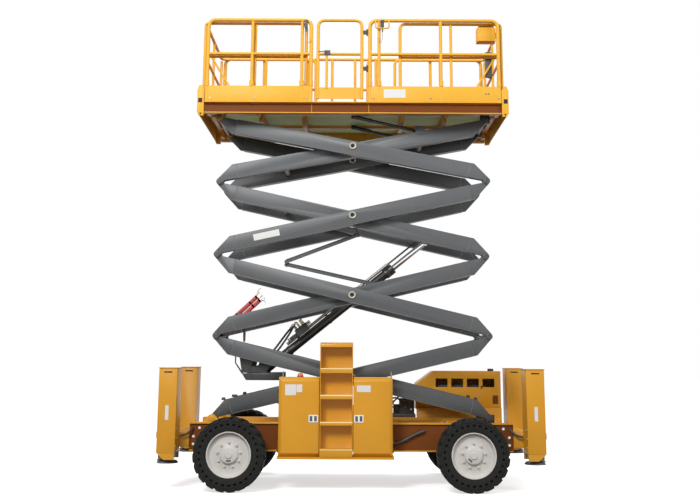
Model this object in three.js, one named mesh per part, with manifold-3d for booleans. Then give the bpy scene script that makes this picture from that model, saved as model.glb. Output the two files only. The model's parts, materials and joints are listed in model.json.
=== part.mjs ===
// A self-propelled rough-terrain scissor lift: four levels of crossed arm pairs between a
// four-wheel chassis and a platform with two roll-out decks.
// Millimetres, +Z up, +X towards the steered end, -Y towards the ladder side.
// The origin is on the ground, under the middle of the machine.
import * as THREE from 'three';
import { mergeVertices } from 'three/addons/utils/BufferGeometryUtils.js';
import Module from 'manifold-3d';

const wasm = await Module();
wasm.setup();

// ---------------------------------------------------------------- driving dimensions
const SEAT = 0.3; // gap between two pieces that rest on each other
const RUN = 6; // running gap between moving plates
const PIN_PLAY = 0.7; // radial play of a pin in its hole

// running gear
const WHEEL_BASE = 2830;
const TYRE_RADIUS = 419;
const TYRE_WIDTH = 300;
const WHEEL_Y = 950;
const RIM_RADIUS = 254;
const WHEEL_SIDES = 24;
const KINGPIN_Y = 705;
const AXLE_TUBE = 62;

// chassis
const BEAM_LENGTH = 3900;
const BEAM_HEIGHT = 335;
const BEAM_BOTTOM = TYRE_RADIUS + 1; // the beams stand level with the axles' middle
const BEAM_TOP = BEAM_BOTTOM + BEAM_HEIGHT;
const TRAY_DEPTH = 370;
const TRAY_DROP = 35; // the side trays hang this far below the beams
const TRAY_TOP = BEAM_BOTTOM - TRAY_DROP;
const TRAY_FROM = -870;
const TRAY_TO = 500;

// scissor arms
const HALF_ARM = 1760; // distance from a centre pin to an end pin
const LIFT_ANGLE = 13.28; // slope of the two lower arm levels, degrees
const ARM_HEIGHT = 185;
const ARM_WIDTH = 110;
const ARM_GAP = 15; // between an outer arm and the inner arm beside it
const PIN_OFFSET = 97.5; // end pins lie this far above or below the arm's axis
const UPPER_CENTRE_RISE = 27.7; // centre pins of the two upper levels lie above the axis
const INNER_ARM_Y = 400;
const OUTER_ARM_Y = INNER_ARM_Y + ARM_WIDTH + ARM_GAP;
const PIN_RADIUS = 32;
const BOSS_RADIUS = 42;
const TONGUE_WIDTH = 46;
const END_PLATE = 250; // length of the end plates, measured back from the end pin
const END_CORNER = 195; // their outer corner lies this far back from the end pin
const BEAK = 62; // and the narrow beak round the pin is this long
const BASE_PIN_RISE = 36; // the lowest pins lie this far above the beams
const BASE_PIN_Z = BEAM_TOP + BASE_PIN_RISE;

// cabinets, ladder and tanks
const CABINET_DEPTH = 310;
const CABINET_HEIGHT = 905;
const CABINET_TOP = TRAY_TOP + CABINET_HEIGHT;
const CABINET_WALL = 14;
const DOOR_THICKNESS = 26;
const CABINET_LEFT = { x0: -860, x1: -380 };
const CABINET_RIGHT = { x0: 22, x1: 485 };
const LADDER_ABOVE_CABINETS = 411;
const LADDER_TOP = CABINET_TOP + LADDER_ABOVE_CABINETS;
const STEP_PITCH = 300;
const STEP_COUNT = 4;
const STEP_RISE = 95; // the lowest step lies this far above the tray
const STEP_OPENING = 262;
const STEP_SIDE = 12; // side walls of the steps
const LADDER_ROLL = 45; // rounding of the ladder's top edge
const STEP_DEPTH = 165;
const TANK_HEIGHT = 515;
const TANK_SPLIT_X = -215;
const BEACON_RADIUS = 50;

// engine hood, over the far steered wheel
const TYRE_TO_HOOD = 47;
const HOOD_BOTTOM = 2 * TYRE_RADIUS + TYRE_TO_HOOD;
const HOOD_HEIGHT = 475;
const HOOD = {
  x0: 860, x1: 1985, y0: 590, y1: 1050, z0: HOOD_BOTTOM, z1: HOOD_BOTTOM + HOOD_HEIGHT,
};
const HOOD_WALL = 16;
const HOOD_SLOPE = { run: 230, drop: 165 }; // the cut-off corner over the ladder end
const HOOD_WINDOW = { first: 1118, pitch: 208, width: 158, height: 110, above: 265, count: 4 };

// platform
const DECK_LENGTH = 3740;
const DECK_HALF_WIDTH = 870;
const SIDE_BEAM_DROP = 35; // the side beams reach this far below the top pins
const SIDE_BEAM_HEIGHT = 150;
const RAIL_HEIGHT = 1105;
const MID_RAIL_RISE = 630;
const RAIL_TUBE = 24;
const TOE_BOARD_HEIGHT = 204;
const LEFT_RAIL_END = -510;
const RIGHT_RAIL_START = 190;
const RAIL_POSTS = [-1282, -650, 330, 1114];
const GATE_X0 = -470;
const GATE_X1 = 135;
const GATE_HINGE_RISES = [400, 880]; // above the deck
const GATE_HINGE_LENGTH = 80;
const CROSS_MEMBERS = [640, 1200];
const END_MEMBER_INSET = 40;
const EXTENSION_RAIL_Y = 800;
const EXTENSION_TUBE = 20;
const EXTENSION_INNER = 560; // the roll-out decks start this far from the middle
const EXTENSION_PAST_DECK = 75;

// outriggers
const OUTRIGGER_X = 2170;
const OUTRIGGER_WIDTH = 215;
const OUTRIGGER_DEPTH = 330;
const OUTRIGGER_OUTER_Y = 930;
const OUTRIGGER_HEIGHT = 967;
const OUTRIGGER_BOTTOM = BEAM_BOTTOM + 5;
const OUTRIGGER_TOP = OUTRIGGER_BOTTOM + OUTRIGGER_HEIGHT;
const OUTRIGGER_WALL = 14;
const FOOT_LIFT = 125; // the stowed feet hang this far below their housings
const FOOT_Z = OUTRIGGER_BOTTOM - FOOT_LIFT;
const FOOT_RADIUS = 128;

// ---------------------------------------------------------------- solids and helpers
const toRadians = THREE.MathUtils.degToRad;

function solid(geometry) {
  const bare = geometry.index ? geometry.toNonIndexed() : geometry.clone();
  bare.deleteAttribute('normal');
  bare.deleteAttribute('uv');
  const merged = mergeVertices(bare, 1e-3);
  return new wasm.Manifold(new wasm.Mesh({
    numProp: 3,
    vertProperties: Float32Array.from(merged.attributes.position.array),
    triVerts: Uint32Array.from(merged.index.array),
  }));
}

function toGeometry(manifold) {
  const mesh = manifold.getMesh();
  const geometry = new THREE.BufferGeometry();
  const position = new Float32Array(mesh.numVert * 3);
  for (let v = 0; v < mesh.numVert; v += 1) {
    for (let k = 0; k < 3; k += 1) {
      position[3 * v + k] = mesh.vertProperties[v * mesh.numProp + k];
    }
  }
  geometry.setAttribute('position', new THREE.BufferAttribute(position, 3));
  geometry.setIndex(new THREE.BufferAttribute(Uint32Array.from(mesh.triVerts), 1));
  const flat = geometry.toNonIndexed();
  flat.computeVertexNormals();
  return flat;
}

const join = (solids) => solids.reduce((whole, piece) => whole.add(piece));
const cut = (base, tools) => tools.reduce((rest, tool) => rest.subtract(tool), base);

// A box from its lowest to its highest corner.
function box(x0, x1, y0, y1, z0, z1) {
  const geometry = new THREE.BoxGeometry(x1 - x0, y1 - y0, z1 - z0);
  geometry.translate((x0 + x1) / 2, (y0 + y1) / 2, (z0 + z1) / 2);
  return solid(geometry);
}

// A box on both sides of the machine's centre plane.
function boxPair(x0, x1, y0, y1, z0, z1) {
  return [box(x0, x1, y0, y1, z0, z1), box(x0, x1, -y1, -y0, z0, z1)];
}

// A round bar between two points.
function bar(from, to, radius, sides = 16, endRadius = radius) {
  const a = new THREE.Vector3(...from);
  const b = new THREE.Vector3(...to);
  const along = b.clone().sub(a);
  const geometry = new THREE.CylinderGeometry(endRadius, radius, along.length(), sides);
  const turn = new THREE.Quaternion().setFromUnitVectors(
    new THREE.Vector3(0, 1, 0),
    along.clone().normalize(),
  );
  geometry.applyQuaternion(turn);
  geometry.translate(...a.add(b).multiplyScalar(0.5).toArray());
  return solid(geometry);
}

// A round bar along Y.
const crossBar = (x, z, y0, y1, radius, sides = 16) => bar([x, y0, z], [x, y1, z], radius, sides);

// A flat outline in X and Z, given a thickness from y0 to y1.
function slab(shape, y0, y1, curveSegments = 8) {
  const geometry = new THREE.ExtrudeGeometry(shape, {
    depth: y1 - y0,
    bevelEnabled: false,
    curveSegments,
  });
  geometry.rotateX(Math.PI / 2);
  geometry.translate(0, y1, 0);
  return solid(geometry);
}

function outline(points) {
  return new THREE.Shape(points.map(([x, z]) => new THREE.Vector2(x, z)));
}

// A solid of revolution about an axis along Y; the profile is [radius, y] pairs.
function turned(profile, x, z, segments = 40) {
  const points = profile.map(([radius, y]) => new THREE.Vector2(radius, y));
  const geometry = new THREE.LatheGeometry(points, segments);
  geometry.translate(x, 0, z);
  return solid(geometry);
}

// A round tube along a run of corners that lie in one plane, each corner bent to a radius.
function bentTube(points, radius, bend, sides = 6) {
  const corners = points.map((p) => new THREE.Vector3(...p));
  const stops = [corners[0]];
  const BEND_STEPS = 2;
  for (let i = 1; i < corners.length - 1; i += 1) {
    const before = corners[i - 1].clone().sub(corners[i]).normalize();
    const after = corners[i + 1].clone().sub(corners[i]).normalize();
    const curve = new THREE.QuadraticBezierCurve3(
      corners[i].clone().addScaledVector(before, bend),
      corners[i],
      corners[i].clone().addScaledVector(after, bend),
    );
    stops.push(...curve.getPoints(BEND_STEPS));
  }
  stops.push(corners[corners.length - 1]);
  const across = corners[1].clone().sub(corners[0]);
  const plane = corners.length > 2
    ? across.clone().cross(corners[2].clone().sub(corners[1])).normalize()
    : new THREE.Vector3(0, 1, 0);
  const position = [];
  const index = [];
  stops.forEach((stop, i) => {
    const back = stop.clone().sub(stops[Math.max(i - 1, 0)]).normalize();
    const ahead = stops[Math.min(i + 1, stops.length - 1)].clone().sub(stop).normalize();
    const along = back.clone().add(ahead).normalize();
    const wide = along.clone().cross(plane);
    for (let k = 0; k < sides; k += 1) {
      const turn = ((k + 0.5) / sides) * Math.PI * 2;
      position.push(...stop.clone()
        .addScaledVector(plane, radius * Math.cos(turn))
        .addScaledVector(wide, radius * Math.sin(turn)).toArray());
      const a = i * sides + k;
      const b = i * sides + ((k + 1) % sides);
      if (i > 0) index.push(a - sides, b, a, a - sides, b - sides, b);
      if (k > 1 && i === 0) index.push(0, k, k - 1);
      if (k > 1 && i === stops.length - 1) index.push(i * sides, a - 1, a);
    }
  });
  const geometry = new THREE.BufferGeometry();
  geometry.setAttribute('position', new THREE.Float32BufferAttribute(position, 3));
  geometry.setIndex(index);
  return solid(geometry);
}

const FINISH = {
  orange: { color: 0xd99a26, roughness: 0.42, metalness: 0.1 },
  slate: { color: 0x565c64, roughness: 0.5, metalness: 0.2 },
  black: { color: 0x1b1c1e, roughness: 0.5, metalness: 0.3 },
  rubber: { color: 0x26262a, roughness: 0.85, metalness: 0 },
  cream: { color: 0xd9d6c6, roughness: 0.5, metalness: 0.1 },
  chrome: { color: 0xc8ccd0, roughness: 0.12, metalness: 1 },
  red: { color: 0xb01f18, roughness: 0.45, metalness: 0.1 },
  plastic: { color: 0x2c2f33, roughness: 0.6, metalness: 0 },
  amber: { color: 0xe07a10, roughness: 0.3, metalness: 0 },
};

const machine = new THREE.Group();

function addNode(name, manifold, finish) {
  const mesh = new THREE.Mesh(toGeometry(manifold), new THREE.MeshStandardMaterial(FINISH[finish]));
  mesh.name = name;
  machine.add(mesh);
}

// ---------------------------------------------------------------- scissor geometry
// Every half arm between a centre pin and an end pin is HALF_ARM long. The end pins are set
// off the arm's axis, so a half arm's pin line is steeper than the arm by a fixed angle.
const pinTilt = (rise) => Math.asin((PIN_OFFSET + rise) / HALF_ARM);
const levels = {};
{
  let pinLine = toRadians(LIFT_ANGLE) + pinTilt(0);
  let z = BASE_PIN_Z;
  for (const level of [4, 3, 2, 1]) {
    const rise = level > 2 ? 0 : UPPER_CENTRE_RISE;
    const slope = pinLine - pinTilt(rise);
    const upperLine = slope + pinTilt(-rise);
    const lowerX = HALF_ARM * Math.cos(pinLine);
    const centreZ = z + HALF_ARM * Math.sin(pinLine);
    const upperX = HALF_ARM * Math.cos(upperLine);
    const upperZ = centreZ + HALF_ARM * Math.sin(upperLine);
    levels[level] = { slope, rise, lowerX, lowerZ: z, centreZ, upperX, upperZ };
    z = upperZ;
    pinLine = upperLine;
  }
}
const BASE_PIN_X = levels[4].lowerX;
const TOP_PIN = { x: levels[1].upperX, z: levels[1].upperZ };
const SIDE_BEAM_BOTTOM = Math.round(TOP_PIN.z) - SIDE_BEAM_DROP;

// One arm's side outline, flat, centred on its centre pin: lower end at -u, upper end at +u.
function armReach(rise, sign) {
  const offset = PIN_OFFSET + sign * rise;
  return Math.sqrt(HALF_ARM ** 2 - offset ** 2);
}

function endPlate(direction, pinU, pinV, axisV) {
  // direction +1 is the upper right end, -1 the lower left end
  const half = ARM_HEIGHT / 2;
  const back = END_PLATE;
  const shape = new THREE.Shape();
  const u = (d) => direction * (pinU - d);
  const v = (d) => axisV - direction * d; // d is measured away from the pin side
  shape.moveTo(u(back), v(half));
  shape.lineTo(u(END_CORNER), v(half));
  const ARC = { start: 55, sweep: 165, points: 5 };
  for (let i = 0; i <= ARC.points; i += 1) {
    const turn = toRadians(ARC.start - (i * ARC.sweep) / ARC.points);
    shape.lineTo(
      direction * (pinU + BOSS_RADIUS * Math.cos(turn)),
      pinV - direction * BOSS_RADIUS * Math.sin(turn),
    );
  }
  shape.lineTo(u(BEAK), v(-half));
  shape.lineTo(u(back), v(-half));
  shape.closePath();
  return shape;
}

// kind is 'tongue' (one middle plate) or 'fork' (two cheeks)
function armEnd(kind, direction, pinU, pinV, axisV, y) {
  const shape = endPlate(direction, pinU, pinV, axisV);
  if (kind === 'tongue') {
    return slab(shape, y - TONGUE_WIDTH / 2, y + TONGUE_WIDTH / 2);
  }
  const inner = TONGUE_WIDTH / 2 + RUN;
  const outer = ARM_WIDTH / 2;
  return join([slab(shape, y + inner, y + outer), slab(shape, y - outer, y - inner)]);
}

// A pair of arms, near and far, as one welded solid. Built level, then turned to its slope.
function armPair({ level, y, rising, lowerKind, upperKind, lowerHole, upperPin, tubes, extras }) {
  const { slope, rise, centreZ } = levels[level];
  const axisV = -rise;
  const lowerU = armReach(rise, 1);
  const upperU = armReach(rise, -1);
  const lowerV = axisV - PIN_OFFSET;
  const upperV = axisV + PIN_OFFSET;
  const pieces = [];
  for (const side of [-1, 1]) {
    const centre = side * y;
    const half = ARM_HEIGHT / 2;
    const boxStart = -(lowerU - END_PLATE + 8);
    const boxEnd = upperU - END_PLATE + 8;
    pieces.push(box(boxStart, boxEnd, centre - ARM_WIDTH / 2, centre + ARM_WIDTH / 2,
      axisV - half, axisV + half));
    pieces.push(armEnd(lowerKind, -1, lowerU, lowerV, axisV, centre));
    pieces.push(armEnd(upperKind, 1, upperU, upperV, axisV, centre));
  }
  for (const [u, v, radius] of tubes) {
    pieces.push(crossBar(u, axisV + v, -y, y, radius, 12));
  }
  let arm = join(pieces);
  const drill = (u, v) => crossBar(u, v, -y - 200, y + 200, PIN_RADIUS + PIN_PLAY);
  const holes = [];
  if (lowerHole) holes.push(drill(-lowerU, lowerV));
  if (!upperPin) holes.push(drill(upperU, upperV));
  if (!rising.ownsCentrePin) holes.push(drill(0, 0));
  arm = cut(arm, holes);
  const added = [];
  if (upperPin) added.push(crossBar(upperU, upperV, -y - upperPin, y + upperPin, PIN_RADIUS));
  if (rising.ownsCentrePin) {
    const inward = INNER_ARM_Y - ARM_WIDTH / 2 - 8;
    for (const side of [-1, 1]) {
      const ends = [side * inward, side * (OUTER_ARM_Y + ARM_WIDTH / 2 + 12)];
      added.push(crossBar(0, 0, Math.min(...ends), Math.max(...ends), PIN_RADIUS));
      const collar = [side * (OUTER_ARM_Y - ARM_WIDTH / 2 - 4), side * OUTER_ARM_Y];
      added.push(crossBar(0, 0, Math.min(...collar), Math.max(...collar), 60, 12));
    }
  }
  if (extras) added.push(...extras({ axisV, lowerU, upperU, lowerV, upperV }));
  if (added.length) arm = join([arm, ...added]);
  // rising to the right turns one way; the crossing arm is its mirror image
  const turned = rising.right ? arm : arm.mirror([1, 0, 0]);
  const tilt = THREE.MathUtils.radToDeg(slope) * (rising.right ? -1 : 1);
  return turned.rotate([0, tilt, 0]).translate([0, 0, centreZ]);
}

// ---------------------------------------------------------------- arms
const PIN_PAST_ARM = ARM_WIDTH / 2 + 3;
const ARM_TUBE = 38;

// lift cylinder: hung under the lowest inner arms, its rod eye on the second inner arms
const CYLINDER_FOOT_ON_ARM = { u: 1112.5, v: -205.6 };
const CYLINDER_EYE_ON_ARM = { u: -995.3, v: -56.8 };
const CYLINDER_RADIUS = 56;
const ROD_RADIUS = 36;
const BARREL_END = 2120; // along the cylinder, from its foot
const ROD_START = 620; // the piston end at rest, part way along the barrel
const EYE_HALF_WIDTH = 58;
const EAR_THICKNESS = 16;

// a point of the machine, seen from a pair of arms: along u and across v
function onArm(level, right, x, z) {
  const { slope, centreZ } = levels[level];
  const turn = right ? slope : -slope;
  const dz = z - centreZ;
  const u = x * Math.cos(turn) + dz * Math.sin(turn);
  const v = -x * Math.sin(turn) + dz * Math.cos(turn);
  return { u: right ? u : -u, v };
}

// a point given on a falling pair of arms, as a point of the machine
function fromFallingArm(level, { u, v }) {
  const { slope, centreZ } = levels[level];
  return {
    x: -u * Math.cos(slope) + v * Math.sin(slope),
    z: centreZ + u * Math.sin(slope) + v * Math.cos(slope),
  };
}
const CYLINDER_FOOT = fromFallingArm(4, CYLINDER_FOOT_ON_ARM);
const CYLINDER_EYE = fromFallingArm(2, CYLINDER_EYE_ON_ARM);
const FOOT_PIN_RADIUS = 24;
const EYE_TUBE_RADIUS = 46;

// two ears on a cross tube, which stops at the ears so that the cylinder can swing between them
function clevis(level, x, z) {
  const at = onArm(level, false, x, z);
  return ({ axisV }) => {
    const toTube = Math.sign(axisV - at.v) || 1;
    const inside = EYE_HALF_WIDTH + RUN;
    const pieces = [-1, 1].map((side) => crossBar(at.u, axisV,
      Math.min(side * inside, side * INNER_ARM_Y), Math.max(side * inside, side * INNER_ARM_Y),
      EYE_TUBE_RADIUS, 16));
    for (const side of [-1, 1]) {
      const near = side * inside;
      const far = side * (inside + EAR_THICKNESS);
      const ear = outline([
        [at.u - 52, at.v],
        [at.u - 36, at.v - toTube * 40],
        [at.u + 36, at.v - toTube * 40],
        [at.u + 52, at.v],
        [at.u + 95, axisV],
        [at.u - 95, axisV],
      ]);
      pieces.push(slab(ear, Math.min(near, far), Math.max(near, far)));
    }
    return pieces;
  };
}

const outerRise = { right: true, ownsCentrePin: true };
const outerFall = { right: false, ownsCentrePin: true };
const innerRise = { right: true, ownsCentrePin: false };
const innerFall = { right: false, ownsCentrePin: false };
const innerTubes = [[-900, 0, ARM_TUBE], [900, 0, ARM_TUBE]];

addNode('arm_outer_4', armPair({
  level: 4, y: OUTER_ARM_Y, rising: outerRise, lowerKind: 'tongue', upperKind: 'tongue',
  lowerHole: true, upperPin: PIN_PAST_ARM, tubes: [],
}), 'slate');
const footClevis = clevis(4, CYLINDER_FOOT.x, CYLINDER_FOOT.z);
addNode('arm_inner_4', armPair({
  level: 4, y: INNER_ARM_Y, rising: innerFall, lowerKind: 'fork', upperKind: 'tongue',
  lowerHole: true, upperPin: PIN_PAST_ARM, tubes: [[-900, 0, ARM_TUBE]],
  extras: (frame) => {
    const end = EYE_HALF_WIDTH + RUN + EAR_THICKNESS + 4;
    const { u, v } = CYLINDER_FOOT_ON_ARM;
    return [...footClevis(frame), crossBar(u, v, -end, end, FOOT_PIN_RADIUS)];
  },
}), 'slate');
addNode('arm_outer_3', armPair({
  level: 3, y: OUTER_ARM_Y, rising: outerFall, lowerKind: 'fork', upperKind: 'tongue',
  lowerHole: true, upperPin: PIN_PAST_ARM, tubes: [],
}), 'slate');
addNode('arm_inner_3', armPair({
  level: 3, y: INNER_ARM_Y, rising: innerRise, lowerKind: 'fork', upperKind: 'tongue',
  lowerHole: true, upperPin: PIN_PAST_ARM, tubes: [],
}), 'slate');
addNode('arm_outer_2', armPair({
  level: 2, y: OUTER_ARM_Y, rising: outerRise, lowerKind: 'fork', upperKind: 'tongue',
  lowerHole: true, upperPin: PIN_PAST_ARM, tubes: [],
}), 'slate');
addNode('arm_inner_2', armPair({
  level: 2, y: INNER_ARM_Y, rising: innerFall, lowerKind: 'fork', upperKind: 'tongue',
  lowerHole: true, upperPin: PIN_PAST_ARM, tubes: [[900, 0, ARM_TUBE]],
  extras: clevis(2, CYLINDER_EYE.x, CYLINDER_EYE.z),
}), 'slate');
addNode('arm_outer_1', armPair({
  level: 1, y: OUTER_ARM_Y, rising: outerFall, lowerKind: 'fork', upperKind: 'tongue',
  lowerHole: true, upperPin: PIN_PAST_ARM, tubes: [],
}), 'slate');
addNode('arm_inner_1', armPair({
  level: 1, y: INNER_ARM_Y, rising: innerRise, lowerKind: 'fork', upperKind: 'fork',
  lowerHole: true, upperPin: 0, tubes: innerTubes,
}), 'slate');

// slide blocks that carry the free arm ends in their tracks
const BLOCK_HALF_HEIGHT = 56;
const BLOCK_HALF_LENGTH = 62;
function slideBlocks(x, z) {
  const pieces = [crossBar(x, z, -INNER_ARM_Y - 62, INNER_ARM_Y + 62, PIN_RADIUS)];
  const half = TONGUE_WIDTH / 2;
  for (const y of [-INNER_ARM_Y, INNER_ARM_Y]) {
    pieces.push(box(x - BLOCK_HALF_LENGTH, x + BLOCK_HALF_LENGTH, y - half, y + half,
      z - BLOCK_HALF_HEIGHT, z + BLOCK_HALF_HEIGHT));
  }
  return join(pieces);
}
addNode('slide_block_lower', slideBlocks(BASE_PIN_X, BASE_PIN_Z), 'black');
addNode('slide_block_upper', slideBlocks(TOP_PIN.x, TOP_PIN.z), 'black');

// ---------------------------------------------------------------- lift cylinder
{
  const foot = new THREE.Vector3(CYLINDER_FOOT.x, 0, CYLINDER_FOOT.z);
  const eye = new THREE.Vector3(CYLINDER_EYE.x, 0, CYLINDER_EYE.z);
  const along = eye.clone().sub(foot).normalize();
  const length = eye.distanceTo(foot);
  const at = (d) => foot.clone().addScaledVector(along, d).toArray();
  const GLAND_BORE = ROD_RADIUS + PIN_PLAY;
  const barrel = cut(join([
    bar(at(36), at(BARREL_END), CYLINDER_RADIUS, 24),
    bar(at(BARREL_END - 70), at(BARREL_END), CYLINDER_RADIUS + 8, 24),
    crossBar(foot.x, foot.z, -EYE_HALF_WIDTH, EYE_HALF_WIDTH, 50, 20),
  ]), [
    crossBar(foot.x, foot.z, -200, 200, FOOT_PIN_RADIUS + PIN_PLAY, 20),
    bar(at(110), at(BARREL_END + 40), GLAND_BORE, 24),
  ]);
  addNode('lift_cylinder_barrel', barrel, 'black');
  const rod = join([
    bar(at(ROD_START), at(length - 20), ROD_RADIUS, 24),
    crossBar(eye.x, eye.z, -EYE_HALF_WIDTH, EYE_HALF_WIDTH, EYE_TUBE_RADIUS, 20),
  ]);
  addNode('lift_cylinder_rod', rod, 'chrome');
}

// ---------------------------------------------------------------- prop and hose guide
// a red maintenance prop that pivots on the pin between the lower inner arms
const PROP_LENGTH = 712;
const PROP_ANGLE = 43;
const PROP_FROM_ARM = 80;
const PROP_Y = -(INNER_ARM_Y - ARM_WIDTH / 2 - PROP_FROM_ARM);
{
  const x = -levels[4].upperX;
  const z = levels[4].upperZ;
  const reach = (d) => [x + d * Math.cos(toRadians(PROP_ANGLE)), z + d
    * Math.sin(toRadians(PROP_ANGLE))];
  const strips = [-34, 18].map((dy) => {
    const y0 = PROP_Y + dy;
    const [ax, az] = reach(0);
    const [bx, bz] = reach(PROP_LENGTH);
    const strip = bar([ax, y0 + 8, az], [bx, y0 + 8, bz], 22, 4).intersect(
      box(-2500, 2500, y0, y0 + 16, 0, 6000),
    );
    const eye = crossBar(x, z, y0, y0 + 16, PIN_RADIUS + 24, 20);
    return join([strip, eye]);
  });
  const ties = [180, 420, PROP_LENGTH - 30].map((d) => {
    const [tx, tz] = reach(d);
    return crossBar(tx, tz, PROP_Y - 34, PROP_Y + 34, 12);
  });
  const prop = cut(join([...strips, ...ties]), [crossBar(x, z, PROP_Y - 60, PROP_Y + 60,
    PIN_RADIUS + PIN_PLAY)]);
  addNode('maintenance_prop', prop, 'red');
}

// a hose loop from one level to the next, in two straight runs, each clipped to its arm
const HOSE_UPPER_CLIP = { x: 73, z: levels[2].centreZ - 222 };
const HOSE_LOWER_CLIP = { x: 229, z: levels[3].centreZ + 160 };
const HOSE_TURN = { x: -837, z: levels[3].upperZ - 62 };
const HOSE_RADIUS = 14;
const HOSE_FROM_ARM = 9;
const HOSE_Y = -(INNER_ARM_Y - ARM_WIDTH / 2 - HOSE_RADIUS - HOSE_FROM_ARM);
const HOSE_CLIP = { past: 8, radius: 12 };
const HOSE_APART = 32; // the two runs lie in planes this far apart
function hoseRun(clip, armLevel, meet, y) {
  const pinEnd = INNER_ARM_Y - ARM_WIDTH / 2 - HOSE_CLIP.past - SEAT;
  const pinZ = levels[armLevel].centreZ;
  return join([
    bar([clip.x, y, clip.z], [HOSE_TURN.x, y, HOSE_TURN.z + meet], HOSE_RADIUS, 8),
    bar([0, y, pinZ], [clip.x, y, clip.z], HOSE_CLIP.radius, 6),
    crossBar(0, pinZ, -pinEnd, y + HOSE_CLIP.past, PIN_RADIUS),
  ]);
}
addNode('hose_run_upper', hoseRun(HOSE_UPPER_CLIP, 2, HOSE_RADIUS + 2, HOSE_Y), 'black');
addNode('hose_run_lower',
  hoseRun(HOSE_LOWER_CLIP, 3, -HOSE_RADIUS - 2, HOSE_Y + HOSE_APART), 'black');

// ---------------------------------------------------------------- chassis
const BEAM_INNER = OUTER_ARM_Y - ARM_WIDTH / 2;
const BEAM_OUTER = OUTER_ARM_Y + ARM_WIDTH / 2;
const CABINET_INNER = BEAM_OUTER + 50;
const AXLE_NOTCH = 95;
const SHELF = 25;
const TRACK = { past: 192, before: 1038, floor: 24, lip: 16 };
{
  const half = BEAM_LENGTH / 2;
  const pieces = [
    ...boxPair(-half, half, BEAM_INNER, BEAM_OUTER, BEAM_BOTTOM, BEAM_TOP),
    box(-half, -half + 30, -BEAM_OUTER, BEAM_OUTER, BEAM_BOTTOM, BEAM_TOP - 60),
    box(half - 30, half, -BEAM_OUTER, BEAM_OUTER, BEAM_BOTTOM, BEAM_TOP - 60),
    box(-430, -330, -BEAM_INNER - 1, BEAM_INNER + 1, BEAM_BOTTOM + 20, BEAM_TOP - 150),
    box(430, 530, -BEAM_INNER - 1, BEAM_INNER + 1, BEAM_BOTTOM + 20, BEAM_TOP - 150),
    box(-half, half, -BEAM_INNER - 1, BEAM_INNER + 1, BEAM_TOP - 130, BEAM_TOP - 118),
  ];
  // lower slide track on the inner side of the beams
  const floor = BASE_PIN_Z - BLOCK_HALF_HEIGHT - SEAT;
  const trackIn = INNER_ARM_Y - ARM_WIDTH / 2 - 5;
  const track = [Math.round(BASE_PIN_X) - TRACK.before, Math.round(BASE_PIN_X) + TRACK.past];
  pieces.push(...boxPair(...track, trackIn, BEAM_INNER + 1, floor - TRACK.floor, floor));
  pieces.push(...boxPair(...track, trackIn, trackIn + TRACK.lip, BEAM_TOP - 125, floor));
  // brackets for the fixed lower arm ends
  const ear = new THREE.Shape();
  ear.moveTo(-BASE_PIN_X - 120, BEAM_TOP - 20);
  ear.lineTo(-BASE_PIN_X + 120, BEAM_TOP - 20);
  ear.lineTo(-BASE_PIN_X + 55, BASE_PIN_Z + 30);
  ear.absarc(-BASE_PIN_X, BASE_PIN_Z, 58, toRadians(20), toRadians(160));
  ear.closePath();
  const cheekIn = TONGUE_WIDTH / 2 + RUN;
  for (const side of [-1, 1]) {
    const y = side * OUTER_ARM_Y;
    pieces.push(slab(ear, y + cheekIn, y + ARM_WIDTH / 2));
    pieces.push(slab(ear, y - ARM_WIDTH / 2, y - cheekIn));
  }
  // side trays and their bearers
  const trayOut = CABINET_INNER + TRAY_DEPTH - 40;
  pieces.push(...boxPair(TRAY_FROM, TRAY_TO, BEAM_OUTER - 30, trayOut, TRAY_TOP - 22, TRAY_TOP));
  for (const x of [TRAY_FROM + 20, -200, TRAY_TO - 100]) {
    pieces.push(...boxPair(x, x + 80, BEAM_INNER, trayOut - 30, TRAY_TOP - 22, TRAY_TOP - 2));
    pieces.push(...boxPair(x, x + 80, BEAM_INNER, BEAM_OUTER, TRAY_TOP - 22, BEAM_BOTTOM + 10));
  }
  // engine shelf over the steered far wheel
  pieces.push(box(HOOD.x0, HOOD.x1, BEAM_OUTER - 20, HOOD.y1, HOOD.z0 - SHELF, HOOD.z0 - SEAT));
  pieces.push(box(HOOD.x0, HOOD.x1, BEAM_OUTER - 20, BEAM_OUTER + 16, BEAM_TOP - 90, HOOD.z0 - 10));
  const notches = [];
  for (const x of [-WHEEL_BASE / 2, WHEEL_BASE / 2]) {
    notches.push(box(x - AXLE_NOTCH, x + AXLE_NOTCH, -BEAM_OUTER - 5, BEAM_OUTER + 5,
      BEAM_BOTTOM - 5, TYRE_RADIUS + AXLE_TUBE + 22));
  }
  const pocket = 12;
  const tongueSlots = [-1, 1].map((side) => {
    const y = side * OUTER_ARM_Y;
    return box(-BASE_PIN_X - 66, -BASE_PIN_X + 230, y - TONGUE_WIDTH / 2 - RUN,
      y + TONGUE_WIDTH / 2 + RUN, BASE_PIN_Z - 70, BEAM_TOP + pocket);
  });
  const pins = [-1, 1].map((side) => crossBar(-BASE_PIN_X, BASE_PIN_Z,
    side * OUTER_ARM_Y - ARM_WIDTH / 2 - 6, side * OUTER_ARM_Y + ARM_WIDTH / 2 + 6, PIN_RADIUS));
  const frame = cut(join(pieces), [...notches, ...tongueSlots]);
  addNode('chassis_frame', join([frame, ...pins]), 'orange');
}

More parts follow.
